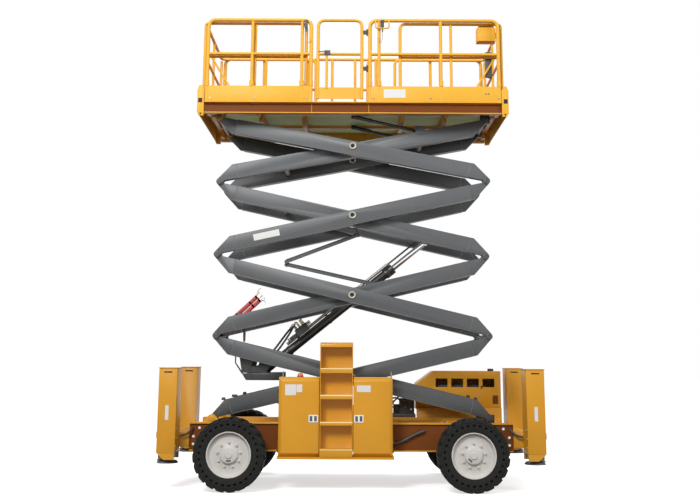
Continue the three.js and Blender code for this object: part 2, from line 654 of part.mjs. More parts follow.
// ---------------------------------------------------------------- axles, knuckles, wheels
const AXLE_TOP_PAD = TYRE_RADIUS + AXLE_TUBE + 22 - SEAT;
const HUB_INNER_Y = WHEEL_Y - 90;
const FORK_INSIDE = 68;
function axle(x, steered) {
  const end = steered ? KINGPIN_Y - 70 : HUB_INNER_Y - SEAT;
  const pieces = [
    crossBar(x, TYRE_RADIUS, -end, end, AXLE_TUBE, 24),
    box(x - 80, x + 80, -BEAM_OUTER, BEAM_OUTER, TYRE_RADIUS, AXLE_TOP_PAD),
    turned([[0, -150], [95, -120], [130, -40], [130, 40], [95, 120], [0, 150]], x, TYRE_RADIUS, 24),
  ];
  if (steered) {
    for (const side of [-1, 1]) {
      const a = side * (end - 12);
      const b = side * (KINGPIN_Y + 42);
      const y0 = Math.min(a, b);
      const y1 = Math.max(a, b);
      pieces.push(box(x - 42, x + 42, y0, y1, TYRE_RADIUS + FORK_INSIDE, TYRE_RADIUS + 92));
      pieces.push(box(x - 42, x + 42, y0, y1, TYRE_RADIUS - 92, TYRE_RADIUS - FORK_INSIDE));
      const back = side * (end + 14);
      pieces.push(box(x - 42, x + 42, Math.min(a, back), Math.max(a, back),
        TYRE_RADIUS - 92, TYRE_RADIUS + 92));
    }
  }
  return join(pieces);
}
addNode('axle_front', axle(WHEEL_BASE / 2, true), 'black');
addNode('axle_rear', axle(-WHEEL_BASE / 2, false), 'black');

function knuckle(x, side) {
  const y = side * KINGPIN_Y;
  const out = side * (HUB_INNER_Y - SEAT);
  return join([
    bar([x, y, TYRE_RADIUS - FORK_INSIDE + SEAT], [x, y, TYRE_RADIUS + FORK_INSIDE - SEAT], 36, 20),
    crossBar(x, TYRE_RADIUS, Math.min(y, out), Math.max(y, out), 52, 20),
    box(x - 150, x, y - 16, y + 16, TYRE_RADIUS - 20, TYRE_RADIUS + 12),
  ]);
}

function tyre(x, side) {
  const half = TYRE_WIDTH / 2;
  const y = side * WHEEL_Y;
  const profile = [
    [RIM_RADIUS + SEAT, y - half + 34],
    [TYRE_RADIUS - 60, y - half],
    [TYRE_RADIUS, y - half + 30],
    [TYRE_RADIUS, y + half - 30],
    [TYRE_RADIUS - 60, y + half],
    [RIM_RADIUS + SEAT, y + half - 34],
    [RIM_RADIUS + SEAT, y - half + 34],
  ];
  return turned(profile, x, TYRE_RADIUS, WHEEL_SIDES);
}

function wheel(x, side) {
  const y = (d) => side * (WHEEL_Y + d);
  const profile = [
    [0, y(-90)], [70, y(-90)], [70, y(40)], [RIM_RADIUS - 30, y(48)],
    [RIM_RADIUS - 26, y(-116)], [RIM_RADIUS, y(-116)], [RIM_RADIUS, y(114)],
    [RIM_RADIUS - 36, y(74)], [105, y(74)], [88, y(126)], [0, y(126)],
  ];
  return turned(side > 0 ? profile : profile.slice().reverse(), x, TYRE_RADIUS, WHEEL_SIDES);
}
for (const [end, x] of [['front', WHEEL_BASE / 2], ['rear', -WHEEL_BASE / 2]]) {
  for (const [name, side] of [['near', -1], ['far', 1]]) {
    if (end === 'front') addNode(`knuckle_${name}`, knuckle(x, side), 'black');
    addNode(`tyre_${end}_${name}`, tyre(x, side), 'rubber');
    addNode(`wheel_${end}_${name}`, wheel(x, side), 'cream');
  }
}

// ---------------------------------------------------------------- cabinets, ladder, tanks
const CABINET_OUTER = CABINET_INNER + CABINET_DEPTH;
function cabinet({ x0, x1 }, hingeSide) {
  const w = CABINET_WALL;
  const z0 = TRAY_TOP + SEAT;
  const front = -CABINET_OUTER + DOOR_THICKNESS + 5;
  const shell = box(x0, x1, front, -CABINET_INNER, z0, CABINET_TOP);
  const hollow = box(x0 + w, x1 - w, front - 10, -CABINET_INNER - w, z0 + w, CABINET_TOP - w);
  const hinge = hingeSide < 0 ? x0 : x1;
  const knuckles = [TRAY_TOP + 130, CABINET_TOP - 160].map((z) => box(
    Math.min(hinge, hinge - hingeSide * 20), Math.max(hinge, hinge - hingeSide * 20),
    front - 4.7, front + 10, z, z + 60,
  ));
  return join([cut(shell, [hollow]), ...knuckles]);
}

function door({ x0, x1 }) {
  const bevel = 42;
  const y0 = -CABINET_OUTER;
  const z0 = TRAY_TOP + 6;
  const z1 = CABINET_TOP;
  const plate = box(x0, x1, y0, y0 + DOOR_THICKNESS, z0, z1);
  const wedges = [];
  for (const x of [x0, x1]) {
    const inward = x === x0 ? 1 : -1;
    const wedge = new THREE.Shape([
      new THREE.Vector2(x - inward * 2, -y0 + 2),
      new THREE.Vector2(x + inward * bevel, -y0 + 2),
      new THREE.Vector2(x - inward * 2, -(y0 + DOOR_THICKNESS * 0.75)),
    ]);
    const geometry = new THREE.ExtrudeGeometry(wedge, { depth: z1 - z0 + 4, bevelEnabled: false });
    const tool = solid(geometry).mirror([0, 1, 0]).translate([0, 0, z0 - 2]);
    wedges.push(tool);
  }
  return cut(plate, wedges);
}
addNode('cabinet_left', cabinet(CABINET_LEFT, -1), 'orange');
addNode('cabinet_left_door', door(CABINET_LEFT), 'orange');
addNode('cabinet_right', cabinet(CABINET_RIGHT, 1), 'orange');
addNode('cabinet_right_door', door(CABINET_RIGHT), 'orange');

// ladder panel between the cabinets: a moulded column with four recessed steps
{
  const x0 = CABINET_LEFT.x1 + 6;
  const x1 = CABINET_RIGHT.x0 - 6;
  const outer = -CABINET_OUTER - 14;
  const inner = -CABINET_INNER - 4;
  const shape = new THREE.Shape(); // drawn sideways on, its first axis pointing to -Y
  shape.moveTo(-inner, TRAY_TOP + SEAT);
  shape.lineTo(-outer, TRAY_TOP + SEAT);
  shape.lineTo(-outer, LADDER_TOP - LADDER_ROLL);
  shape.quadraticCurveTo(-outer, LADDER_TOP, -outer - LADDER_ROLL, LADDER_TOP);
  shape.lineTo(-inner, LADDER_TOP);
  shape.closePath();
  let column = slab(shape, x0, x1).rotate([0, 0, -90]);
  const pockets = [];
  for (let i = 0; i < STEP_COUNT; i += 1) {
    const z = TRAY_TOP + STEP_RISE + i * STEP_PITCH;
    pockets.push(box(x0 + STEP_SIDE, x1 - STEP_SIDE, outer - 5, outer + STEP_DEPTH,
      z, z + STEP_OPENING));
  }
  column = cut(column, pockets);
  addNode('ladder', column, 'orange');
}

// hydraulic and fuel tanks on the far tray
for (const [name, x0, x1] of [
  ['tank_fuel', TRAY_FROM + 20, TANK_SPLIT_X - 15],
  ['tank_oil', TANK_SPLIT_X + 15, TRAY_TO - 20],
]) {
  addNode(name, box(x0, x1, CABINET_INNER, CABINET_OUTER, TRAY_TOP + SEAT,
    TRAY_TOP + TANK_HEIGHT), 'orange');
}
{
  const x = CABINET_LEFT.x0 + 248;
  const y = 100 - CABINET_OUTER;
  const stack = (from, to, radius, top) => bar([x, y, CABINET_TOP + from],
    [x, y, CABINET_TOP + to], radius, 24, top);
  addNode('beacon', join([
    stack(SEAT, 14, BEACON_RADIUS + 6),
    stack(10, 52, BEACON_RADIUS, BEACON_RADIUS - 10),
  ]), 'amber');
}

// ---------------------------------------------------------------- engine and hood
{
  const { x0, x1, y0, y1, z0, z1 } = HOOD;
  const wall = HOOD_WALL;
  const { run, drop } = HOOD_SLOPE;
  const profile = outline([
    [x0, z0], [x1, z0], [x1, z1], [x0 + run, z1], [x0, z1 - drop],
  ]);
  const inside = outline([
    [x0 + wall, z0 - 5], [x1 - wall, z0 - 5], [x1 - wall, z1 - wall],
    [x0 + run + wall * 0.4, z1 - wall], [x0 + wall, z1 - drop - wall * 0.4],
  ]);
  let hood = cut(slab(profile, y0, y1), [slab(inside, y0 + wall, y1 - wall)]);
  const windows = [];
  for (let i = 0; i < HOOD_WINDOW.count; i += 1) {
    const x = HOOD_WINDOW.first + i * HOOD_WINDOW.pitch;
    const z = z0 + HOOD_WINDOW.above;
    windows.push(box(x, x + HOOD_WINDOW.width, y0 - 5, y0 + wall + 5, z, z + HOOD_WINDOW.height));
  }
  hood = cut(hood, windows);
  addNode('engine_hood', hood, 'orange');
  addNode('engine_block', box(x0 + 260, x1 - 180, y0 + 140, y1 - 60, z0, z1 - 180), 'slate');
}

// ---------------------------------------------------------------- outriggers
function outriggerBeam(end) {
  const inner = OUTRIGGER_OUTER_Y - OUTRIGGER_DEPTH;
  const w = OUTRIGGER_WALL;
  const cx = end * OUTRIGGER_X;
  const x0 = cx - OUTRIGGER_WIDTH / 2;
  const x1 = cx + OUTRIGGER_WIDTH / 2;
  const beamEnd = BEAM_LENGTH / 2 + SEAT;
  const pieces = [];
  const bores = [];
  for (const side of [-1, 1]) {
    const y0 = side < 0 ? -OUTRIGGER_OUTER_Y : inner;
    const y1 = side < 0 ? -inner : OUTRIGGER_OUTER_Y;
    pieces.push(box(x0, x1, y0, y1, OUTRIGGER_BOTTOM, OUTRIGGER_TOP));
    bores.push(box(x0 + w, x1 - w, y0 + w, y1 - w, OUTRIGGER_BOTTOM - 10, OUTRIGGER_TOP - w));
  }
  const reach = [end * beamEnd, cx].sort((a, b) => a - b);
  pieces.push(box(reach[0], reach[1], -inner - 5, inner + 5, BEAM_BOTTOM + 50, BEAM_BOTTOM + 220));
  return cut(join(pieces), bores);
}
addNode('outriggers_rear', outriggerBeam(-1), 'orange');
addNode('outriggers_front', outriggerBeam(1), 'orange');

function outriggerLeg(end, side) {
  const play = OUTRIGGER_WALL + 6;
  const cx = end * OUTRIGGER_X;
  const cy = side * (OUTRIGGER_OUTER_Y - OUTRIGGER_DEPTH / 2);
  const hx = OUTRIGGER_WIDTH / 2 - play;
  const hy = OUTRIGGER_DEPTH / 2 - play;
  const shank = box(cx - hx, cx + hx, cy - hy, cy + hy, FOOT_Z + 60, OUTRIGGER_TOP - 90);
  const padX = OUTRIGGER_WIDTH / 2 - OUTRIGGER_WALL - SEAT;
  const padY = OUTRIGGER_DEPTH / 2 - OUTRIGGER_WALL - SEAT;
  return join([
    shank,
    box(cx - padX, cx + padX, cy - padY, cy + padY, OUTRIGGER_TOP - 160, OUTRIGGER_TOP - 100),
    bar([cx, cy, FOOT_Z + 20], [cx, cy, FOOT_Z + 62], 60, 24),
    bar([cx, cy, FOOT_Z], [cx, cy, FOOT_Z + 30], FOOT_RADIUS, 32, FOOT_RADIUS - 16),
  ]);
}
for (const [endName, end] of [['rear', -1], ['front', 1]]) {
  for (const [sideName, side] of [['near', -1], ['far', 1]]) {
    addNode(`outrigger_leg_${endName}_${sideName}`, outriggerLeg(end, side), 'slate');
  }
}

// ---------------------------------------------------------------- platform
const DECK_Z = SIDE_BEAM_BOTTOM + SIDE_BEAM_HEIGHT;
const DECK_HALF = DECK_LENGTH / 2;
const BEAM_FLANGE = 70;
const TOP_RAIL_Z = DECK_Z + RAIL_HEIGHT;
const MID_RAIL_Z = DECK_Z + MID_RAIL_RISE;
const GATE_BARREL = 12;
const GATE_HINGE_X = RIGHT_RAIL_START - GATE_BARREL - SEAT;

// side beam, toe boards and guard rails of one side, welded together
function guardrail(side) {
  const y = side * DECK_HALF_WIDTH;
  const inward = -side;
  const z0 = SIDE_BEAM_BOTTOM;
  const span = (a, b) => [Math.min(y + inward * a, y + inward * b), Math.max(y + inward * a,
    y + inward * b)];
  const [w0, w1] = span(BEAM_FLANGE - 12, BEAM_FLANGE);
  const [f0, f1] = span(0, BEAM_FLANGE);
  const pieces = [
    box(-DECK_HALF, DECK_HALF, w0, w1, z0, DECK_Z),
    box(-DECK_HALF, DECK_HALF, f0, f1, z0, z0 + 10),
    box(-DECK_HALF, DECK_HALF, f0, f1, DECK_Z - 10, DECK_Z),
  ];
  const [t0, t1] = span(8, 16);
  const railY = y + inward * (RAIL_TUBE + 4);
  const sections = [[-DECK_HALF, LEFT_RAIL_END], [RIGHT_RAIL_START, DECK_HALF]];
  for (const [x0, x1] of sections) {
    pieces.push(box(x0, x1, t0, t1, DECK_Z - 5, DECK_Z + TOE_BOARD_HEIGHT));
    const a = x0 + RAIL_TUBE;
    const b = x1 - RAIL_TUBE;
    pieces.push(bentTube([
      [a, railY, DECK_Z - 5], [a, railY, TOP_RAIL_Z - RAIL_TUBE],
      [b, railY, TOP_RAIL_Z - RAIL_TUBE], [b, railY, DECK_Z - 5],
    ], RAIL_TUBE, 70));
    pieces.push(bar([a, railY, MID_RAIL_Z], [b, railY, MID_RAIL_Z], RAIL_TUBE * 0.9, 6));
  }
  for (const x of RAIL_POSTS) {
    pieces.push(bar([x, railY, DECK_Z - 5], [x, railY, TOP_RAIL_Z - RAIL_TUBE], RAIL_TUBE * 0.9, 6));
  }
  if (side > 0) {
    // the far side has a fixed section where the near side has its gate
    pieces.push(box(LEFT_RAIL_END - 5, RIGHT_RAIL_START + 5, t0, t1, DECK_Z - 5,
      DECK_Z + TOE_BOARD_HEIGHT));
    for (const z of [TOP_RAIL_Z - RAIL_TUBE, MID_RAIL_Z]) {
      pieces.push(bar([LEFT_RAIL_END - 60, railY, z], [RIGHT_RAIL_START + 60, railY, z],
        RAIL_TUBE * 0.9, 6));
    }
  }
  return join(pieces);
}
addNode('guardrail_near', guardrail(-1), 'orange');
addNode('guardrail_far', guardrail(1), 'orange');

// cross members, deck plate, upper slide track and the fixed upper arm brackets
{
  const inner = DECK_HALF_WIDTH - BEAM_FLANGE - SEAT;
  const z0 = SIDE_BEAM_BOTTOM;
  const trackTop = TOP_PIN.z + BLOCK_HALF_HEIGHT + SEAT;
  const pieces = [box(-DECK_HALF, DECK_HALF, -inner, inner, DECK_Z - 14, DECK_Z)];
  // cross members, notched where the arms swing up between them
  const notches = boxPair(-DECK_HALF, DECK_HALF, INNER_ARM_Y - ARM_WIDTH / 2 - 12,
    OUTER_ARM_Y + ARM_WIDTH / 2 + 12, z0 - 10, trackTop);
  const member = (x, tools) => cut(box(x - 25, x + 25, -inner, inner, z0 + 20, DECK_Z - 10), tools);
  pieces.push(...CROSS_MEMBERS.flatMap((x) => [member(-x, notches), member(x, notches)]));
  // the end members are cut away in the middle too, where the slide block's shaft rolls by
  const notchHalf = OUTER_ARM_Y + ARM_WIDTH / 2 + 12;
  const wide = box(-DECK_HALF, DECK_HALF, -notchHalf, notchHalf, z0 - 10,
    TOP_PIN.z + PIN_RADIUS + RUN);
  const endX = DECK_HALF - END_MEMBER_INSET;
  pieces.push(member(-endX, [...notches, wide]), member(endX, [...notches, wide]));
  pieces.push(...boxPair(-DECK_HALF, DECK_HALF, INNER_ARM_Y - 44, INNER_ARM_Y + 44, trackTop,
    DECK_Z - 10));
  const ear = new THREE.Shape();
  ear.moveTo(-TOP_PIN.x - 110, DECK_Z - 12);
  ear.lineTo(-TOP_PIN.x - 52, TOP_PIN.z - 20);
  ear.absarc(-TOP_PIN.x, TOP_PIN.z, 56, toRadians(200), toRadians(340));
  ear.lineTo(-TOP_PIN.x + 110, DECK_Z - 12);
  ear.closePath();
  for (const side of [-1, 1]) {
    const y = side * OUTER_ARM_Y;
    const cheekIn = TONGUE_WIDTH / 2 + RUN;
    for (const [a, b] of [[y + cheekIn, y + cheekIn + 18], [y - cheekIn - 18, y - cheekIn]]) {
      pieces.push(cut(slab(ear, a, b), [crossBar(-TOP_PIN.x, TOP_PIN.z, a - 5, b + 5,
        PIN_RADIUS + PIN_PLAY)]));
    }
  }
  addNode('platform_deck', join(pieces), 'orange');
}

// gate in the near guardrail, hinged at its right post
{
  const y = -DECK_HALF_WIDTH + RAIL_TUBE + 4;
  const low = DECK_Z + 40;
  addNode('gate', join([
    bentTube([
      [GATE_X1 - RAIL_TUBE, y, low], [GATE_X1 - RAIL_TUBE, y, TOP_RAIL_Z - RAIL_TUBE],
      [GATE_X0 + RAIL_TUBE, y, TOP_RAIL_Z - RAIL_TUBE], [GATE_X0 + RAIL_TUBE, y, low],
    ], RAIL_TUBE * 0.9, 60),
    bar([GATE_X0 + RAIL_TUBE, y, MID_RAIL_Z], [GATE_X1 - RAIL_TUBE, y, MID_RAIL_Z],
      RAIL_TUBE * 0.85, 6),
    box(GATE_X0 + 4, GATE_X1 - 4, y - 5, y + 5, low, low + 150),
    ...GATE_HINGE_RISES.map((rise) => DECK_Z + rise).flatMap((z) => [
      bar([GATE_HINGE_X, y, z], [GATE_HINGE_X, y, z + GATE_HINGE_LENGTH], GATE_BARREL, 16),
      box(GATE_X1 - 12, GATE_HINGE_X, y - 5, y + 5, z + 10, z + GATE_HINGE_LENGTH - 10),
    ]),
  ]), 'orange');
}

// roll-out decks with their own three-sided rails
const EXTENSION_DECK_Z = DECK_Z + 12;
const RUNNER_Y = 560;
const END_POST = 52; // the roll-out decks' end posts stand this far inside their ends
function extension(end) {
  const tube = EXTENSION_TUBE;
  const outer = end * (DECK_HALF + EXTENSION_PAST_DECK);
  const inner = end * EXTENSION_INNER;
  const y = EXTENSION_RAIL_Y;
  const top = TOP_RAIL_Z - RAIL_TUBE - 26;
  const spanX = (a, b) => [Math.min(a, b), Math.max(a, b)];
  const [d0, d1] = spanX(inner, outer);
  const [e0, e1] = spanX(outer, outer - end * 40);
  const pieces = [
    box(d0, d1, -y - 6, y + 6, EXTENSION_DECK_Z, EXTENSION_DECK_Z + 10),
    box(e0, e1, -y - 26, y + 26, DECK_Z - 160, DECK_Z + 210),
    ...boxPair(d0, d1, RUNNER_Y, RUNNER_Y + 60, DECK_Z + SEAT, EXTENSION_DECK_Z + 5),
  ];
  const postX = outer - end * END_POST;
  for (const side of [-1, 1]) {
    const ry = side * (y - tube);
    pieces.push(bentTube([
      [inner + end * 40, ry, EXTENSION_DECK_Z + 5], [inner + end * 40, ry, top],
      [postX, ry, top],
    ], tube, 60));
    pieces.push(bentTube([
      [postX, ry, EXTENSION_DECK_Z + 5], [postX, ry, top], [postX, 0, top],
    ], tube, 12));
    pieces.push(bar([inner + end * 40, ry, MID_RAIL_Z - 20], [postX, ry, MID_RAIL_Z - 20],
      tube * 0.9, 6));
  }
  pieces.push(bar([postX, -y + tube, MID_RAIL_Z - 20], [postX, y - tube, MID_RAIL_Z - 20],
    tube * 0.9, 6));
  return join(pieces);
}
addNode('extension_deck_left', extension(-1), 'orange');
addNode('extension_deck_right', extension(1), 'orange');

// control box and document box, hung on the steered end's roll-out rail
const BOX_BACK = -EXTENSION_RAIL_Y + EXTENSION_TUBE * (1 + Math.cos(Math.PI / 6)) + SEAT;
const END_POST_X = DECK_HALF + EXTENSION_PAST_DECK - END_POST;
{
  const x0 = END_POST_X - 303;
  const x1 = END_POST_X - 63;
  const z0 = TOP_RAIL_Z - 275;
  const z1 = TOP_RAIL_Z - 45;
  addNode('control_box', join([
    box(x0, x1, BOX_BACK, BOX_BACK + 130, z0, z1),
    box(x0 + 50, x1 - 50, BOX_BACK + 125, BOX_BACK + 150, z0 + 30, z1 - 25),
  ]), 'orange');
}
const MID_BAR_SIDE = -EXTENSION_RAIL_Y + EXTENSION_TUBE * (1 + 0.9 * Math.cos(Math.PI / 6));
{
  const x0 = END_POST_X - 203;
  const x1 = END_POST_X - 118;
  const barZ = MID_RAIL_Z - 20;
  addNode('document_box', join([
    box(x0, x1, BOX_BACK, BOX_BACK + 64, barZ - 260, barZ + 80),
    box(x0 + 10, x1 - 10, MID_BAR_SIDE + SEAT, BOX_BACK + 2, barZ - 12, barZ + 12),
  ]), 'plastic');
}

export default machine;
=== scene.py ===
# %% [markdown]
# # A rough-terrain scissor lift
# This lesson dresses a finished frame of a scissor lift: four levels of crossed steel arms, a
# four-wheel chassis with outriggers below and a guarded platform above. The frame gives every
# place and every joint. Each step below says what the real piece is, then makes it.

import json
import math

import bmesh
import bpy
from mathutils import Matrix, Vector

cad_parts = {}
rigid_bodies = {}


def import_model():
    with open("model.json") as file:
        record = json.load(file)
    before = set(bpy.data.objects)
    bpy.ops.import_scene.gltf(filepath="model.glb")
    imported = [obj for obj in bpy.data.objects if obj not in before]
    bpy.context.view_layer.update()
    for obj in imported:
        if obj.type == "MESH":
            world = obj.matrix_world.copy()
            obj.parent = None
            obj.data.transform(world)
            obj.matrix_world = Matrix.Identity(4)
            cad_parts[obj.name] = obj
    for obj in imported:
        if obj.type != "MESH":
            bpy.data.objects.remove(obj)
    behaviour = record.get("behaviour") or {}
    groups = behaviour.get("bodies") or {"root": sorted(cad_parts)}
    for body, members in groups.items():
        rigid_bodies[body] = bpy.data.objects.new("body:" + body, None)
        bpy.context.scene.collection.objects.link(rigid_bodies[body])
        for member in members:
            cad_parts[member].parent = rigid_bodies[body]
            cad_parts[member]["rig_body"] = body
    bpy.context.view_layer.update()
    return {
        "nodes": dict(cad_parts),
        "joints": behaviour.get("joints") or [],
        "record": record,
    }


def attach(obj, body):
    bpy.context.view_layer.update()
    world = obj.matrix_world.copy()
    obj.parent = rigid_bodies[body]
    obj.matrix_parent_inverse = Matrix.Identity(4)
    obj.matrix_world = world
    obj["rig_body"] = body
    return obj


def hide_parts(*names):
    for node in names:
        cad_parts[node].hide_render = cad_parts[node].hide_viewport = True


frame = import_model()

# %% [markdown]
# ## Places that everything hangs on
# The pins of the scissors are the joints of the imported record, so each arm's slope follows from
# two of its pins. Reading them keeps every added washer, weld and bolt on its arm.

# %% Pins and slopes
joint_at = {j["name"]: Vector(j["pos_m"]) for j in frame["joints"] if "pos_m" in j}
BASE_PIN = joint_at["lift"]
TOP_PIN = joint_at["platform_level"]
CENTRE_Z = {n: joint_at[f"centre_{n}"].z for n in (1, 2, 3, 4)}
END_PINS = {
    4: (abs(BASE_PIN.x), BASE_PIN.z, joint_at["end_34"].x, joint_at["end_34"].z),
    3: (joint_at["end_34"].x, joint_at["end_34"].z, -joint_at["end_23"].x, joint_at["end_23"].z),
    2: (-joint_at["end_23"].x, joint_at["end_23"].z, joint_at["end_12"].x, joint_at["end_12"].z),
    1: (joint_at["end_12"].x, joint_at["end_12"].z, -TOP_PIN.x, TOP_PIN.z),
}
HALF_ARM = 1.760
PIN_OFFSET = 0.0975
ARM_HEIGHT = 0.185
ARM_WIDTH = 0.110
INNER_Y = 0.400
OUTER_Y = 0.525
LEVELS = (4, 3, 2, 1)  # from the chassis up
SIDES = (("near", -1), ("far", 1))
RISE = {4: 0.0, 3: 0.0, 2: 0.0277, 1: 0.0277}
REACH = {
    n: (
        math.sqrt(HALF_ARM**2 - (PIN_OFFSET + RISE[n]) ** 2),
        math.sqrt(HALF_ARM**2 - (PIN_OFFSET - RISE[n]) ** 2),
    )
    for n in RISE
}
SLOPE = {
    n: math.atan2(zu - zl, xl + xu) - math.atan2(2 * PIN_OFFSET, sum(REACH[n]))
    for n, (xl, zl, xu, zu) in END_PINS.items()
}
print("slopes", {n: round(math.degrees(a), 2) for n, a in SLOPE.items()})


def on_arm(level, rising, u, v):
    """A point u along and v above the middle line of an arm, as (x, z) of the machine."""
    a, v = SLOPE[level], v - RISE[level]
    x = u * math.cos(a) - v * math.sin(a)
    return (x if rising else -x), CENTRE_Z[level] + u * math.sin(a) + v * math.cos(a)


# %% [markdown]
# ## Shaping tools
# Steel work is mostly plates, bars, tubes and turned parts. Each helper starts from one of
# Blender's own bmesh shapes, so the script never lists faces by hand, and the pieces of one
# material are gathered in one mesh before their sharp edges are softened.

# %% Plates, bars, tubes and turned parts
def block(bm, x0, x1, y0, y1, z0, z1):
    """A box between two corners."""
    size = Matrix.Diagonal((x1 - x0, y1 - y0, z1 - z0, 1))
    place = Matrix.Translation(((x0 + x1) / 2, (y0 + y1) / 2, (z0 + z1) / 2))
    return bmesh.ops.create_cube(bm, size=1, matrix=place @ size)["verts"]


def turn_to(axis):
    """The turn that lays the Z axis along another one."""
    return Vector(axis).to_track_quat("Z", "Y").to_matrix().to_4x4()


def slanted(along, up):
    """The turn of a piece drawn with x along and z up, into the plane of the arms."""
    return Matrix(((along.x, 0, up.x), (0, 1, 0), (along.z, 0, up.z))).to_4x4()


def mirrored(side, a, b):
    """The range from a to b, or its mirror image where side is -1, lowest first."""
    return sorted((side * a, side * b))


def rod(bm, a, b, radius, sides=20, end_radius=None):
    """A straight cylinder, or a cone where the end has a radius of its own."""
    a, b = Vector(a), Vector(b)
    bmesh.ops.create_cone(
        bm, cap_ends=True, segments=sides, radius1=radius,
        radius2=radius if end_radius is None else end_radius,
        depth=(b - a).length, matrix=Matrix.Translation((a + b) / 2) @ turn_to(b - a),
    )


def extruded(bm, outline, along):
    """A flat outline of points, drawn out along a vector."""
    face = bm.faces.new([bm.verts.new(point) for point in outline])
    grown = bmesh.ops.extrude_face_region(bm, geom=[face])["geom"]
    moved = [g for g in grown if isinstance(g, bmesh.types.BMVert)]
    bmesh.ops.translate(bm, verts=moved, vec=along)


def prism(bm, points, y0, y1):
    """A flat outline of (x, z) points, given a thickness along Y."""
    extruded(bm, [(x, y0, z) for x, z in points], (0, y1 - y0, 0))


def gather(bm, part, place=Matrix.Identity(4)):
    """Cleans a part, puts it in its place and adds it to a larger mesh."""
    bmesh.ops.remove_doubles(part, verts=part.verts, dist=1e-6)
    bmesh.ops.recalc_face_normals(part, faces=part.faces)
    part.transform(place)
    mesh = bpy.data.meshes.new("part")
    part.to_mesh(mesh)
    part.free()
    bm.from_mesh(mesh)
    bpy.data.meshes.remove(mesh)


def turned(bm, profile, centre, axis=(0, 0, 1), sides=32):
    """A closed profile of (radius, distance along the axis) points, turned once round."""
    part = bmesh.new()
    verts = [part.verts.new((r, 0, d)) for r, d in profile]
    edges = [part.edges.new((verts[i - 1], verts[i])) for i in range(1, len(verts))]
    if profile[0][0] > 1e-6 or profile[-1][0] > 1e-6:
        edges.append(part.edges.new((verts[-1], verts[0])))
    bmesh.ops.spin(
        part, geom=verts + edges, cent=(0, 0, 0), axis=(0, 0, 1),
        angle=math.tau, steps=sides, use_merge=True,
    )
    gather(bm, part, Matrix.Translation(centre) @ turn_to(axis))


def collar(bm, inner, outer, start, end, centre, axis=(0, 1, 0), sides=32):
    """A plain turned ring between two radii and two distances along its axis."""
    turned(bm, [(inner, start), (outer, start), (outer, end), (inner, end)], centre, axis, sides)


def rounded(points, radius, steps=5):
    """The same path with each inner corner replaced by an arc-like bend."""
    path = [Vector(p) for p in points]
    out = [path[0]]
    for before, corner, after in zip(path, path[1:], path[2:]):
        a = corner + (before - corner).normalized() * min(radius, (before - corner).length / 2)
        b = corner + (after - corner).normalized() * min(radius, (after - corner).length / 2)
        for i in range(steps + 1):
            t = i / steps
            out.append(a.lerp(corner, t).lerp(corner.lerp(b, t), t))
    return out + [path[-1]]


def tube(bm, points, radius, bend=0.0, sides=12, closed=False):
    """A round tube along a path, bent at its corners."""
    path = rounded(points, bend) if bend else [Vector(p) for p in points]
    curve = bpy.data.curves.new("tube", "CURVE")
    curve.dimensions = "3D"
    curve.bevel_depth = radius
    curve.bevel_resolution = max(0, sides // 4 - 1)
    curve.use_fill_caps = not closed
    line = curve.splines.new("POLY")
    line.points.add(len(path) - 1)
    line.use_cyclic_u = closed
    for point, at in zip(line.points, path):
        point.co = (*at, 1)
    holder = bpy.data.objects.new("tube", curve)
    mesh = bpy.data.meshes.new_from_object(holder)
    part = bmesh.new()
    part.from_mesh(mesh)
    bpy.data.objects.remove(holder)
    bpy.data.curves.remove(curve)
    bpy.data.meshes.remove(mesh)
    gather(bm, part)


def bolt(bm, at, axis, size, washer=True):
    """A hexagon head on its washer; size is the width of the head."""
    at, axis = Vector(at), Vector(axis).normalized()
    if washer:
        rod(bm, at, at + axis * size * 0.14, size * 0.78, 16)
    rod(bm, at + axis * size * 0.14, at + axis * size * 0.62, size * 0.55, 6)


def soften(bm, width, segments=2, angle=32):
    """Rounds every sharp edge a little, as a cut, welded and painted plate is."""
    bmesh.ops.recalc_face_normals(bm, faces=bm.faces)
    sharp = [
        e for e in bm.edges
        if len(e.link_faces) == 2 and e.calc_face_angle(0) > math.radians(angle)
    ]
    bmesh.ops.bevel(
        bm, geom=sharp, offset=width, segments=segments, profile=0.5, affect="EDGES",
        clamp_overlap=True, material=-1,
    )


def new_object(name, data):
    thing = bpy.data.objects.new(name, data)
    bpy.context.scene.collection.objects.link(thing)
    return thing


def finish_piece(name, bm, material, body, replaces=(), smooth_angle=36):
    """Turns a mesh into a named piece that rides on a body of the frame."""
    bmesh.ops.recalc_face_normals(bm, faces=bm.faces)
    mesh = bpy.data.meshes.new(name)
    bm.to_mesh(mesh)
    bm.free()
    mesh.materials.append(material)
    mesh.shade_smooth()
    mesh.set_sharp_from_angle(angle=math.radians(smooth_angle))
    piece = new_object(name, mesh)
    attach(piece, body)
    if replaces:
        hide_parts(*replaces)
    print(f"{name}: {len(mesh.polygons)} faces on {body}")
    return piece


def dressed(node, material, width=0.004):
    """A copy of a frame node with its triangles merged and its edges softened."""
    source = frame["nodes"][node]
    bm = bmesh.new()
    bm.from_mesh(source.data)
    bmesh.ops.remove_doubles(bm, verts=bm.verts, dist=1e-5)
    bmesh.ops.dissolve_limit(
        bm, angle_limit=math.radians(0.6), verts=bm.verts, edges=bm.edges,
    )
    soften(bm, width)
    return finish_piece(f"{node}_dressed", bm, material, source["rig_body"], (node,))
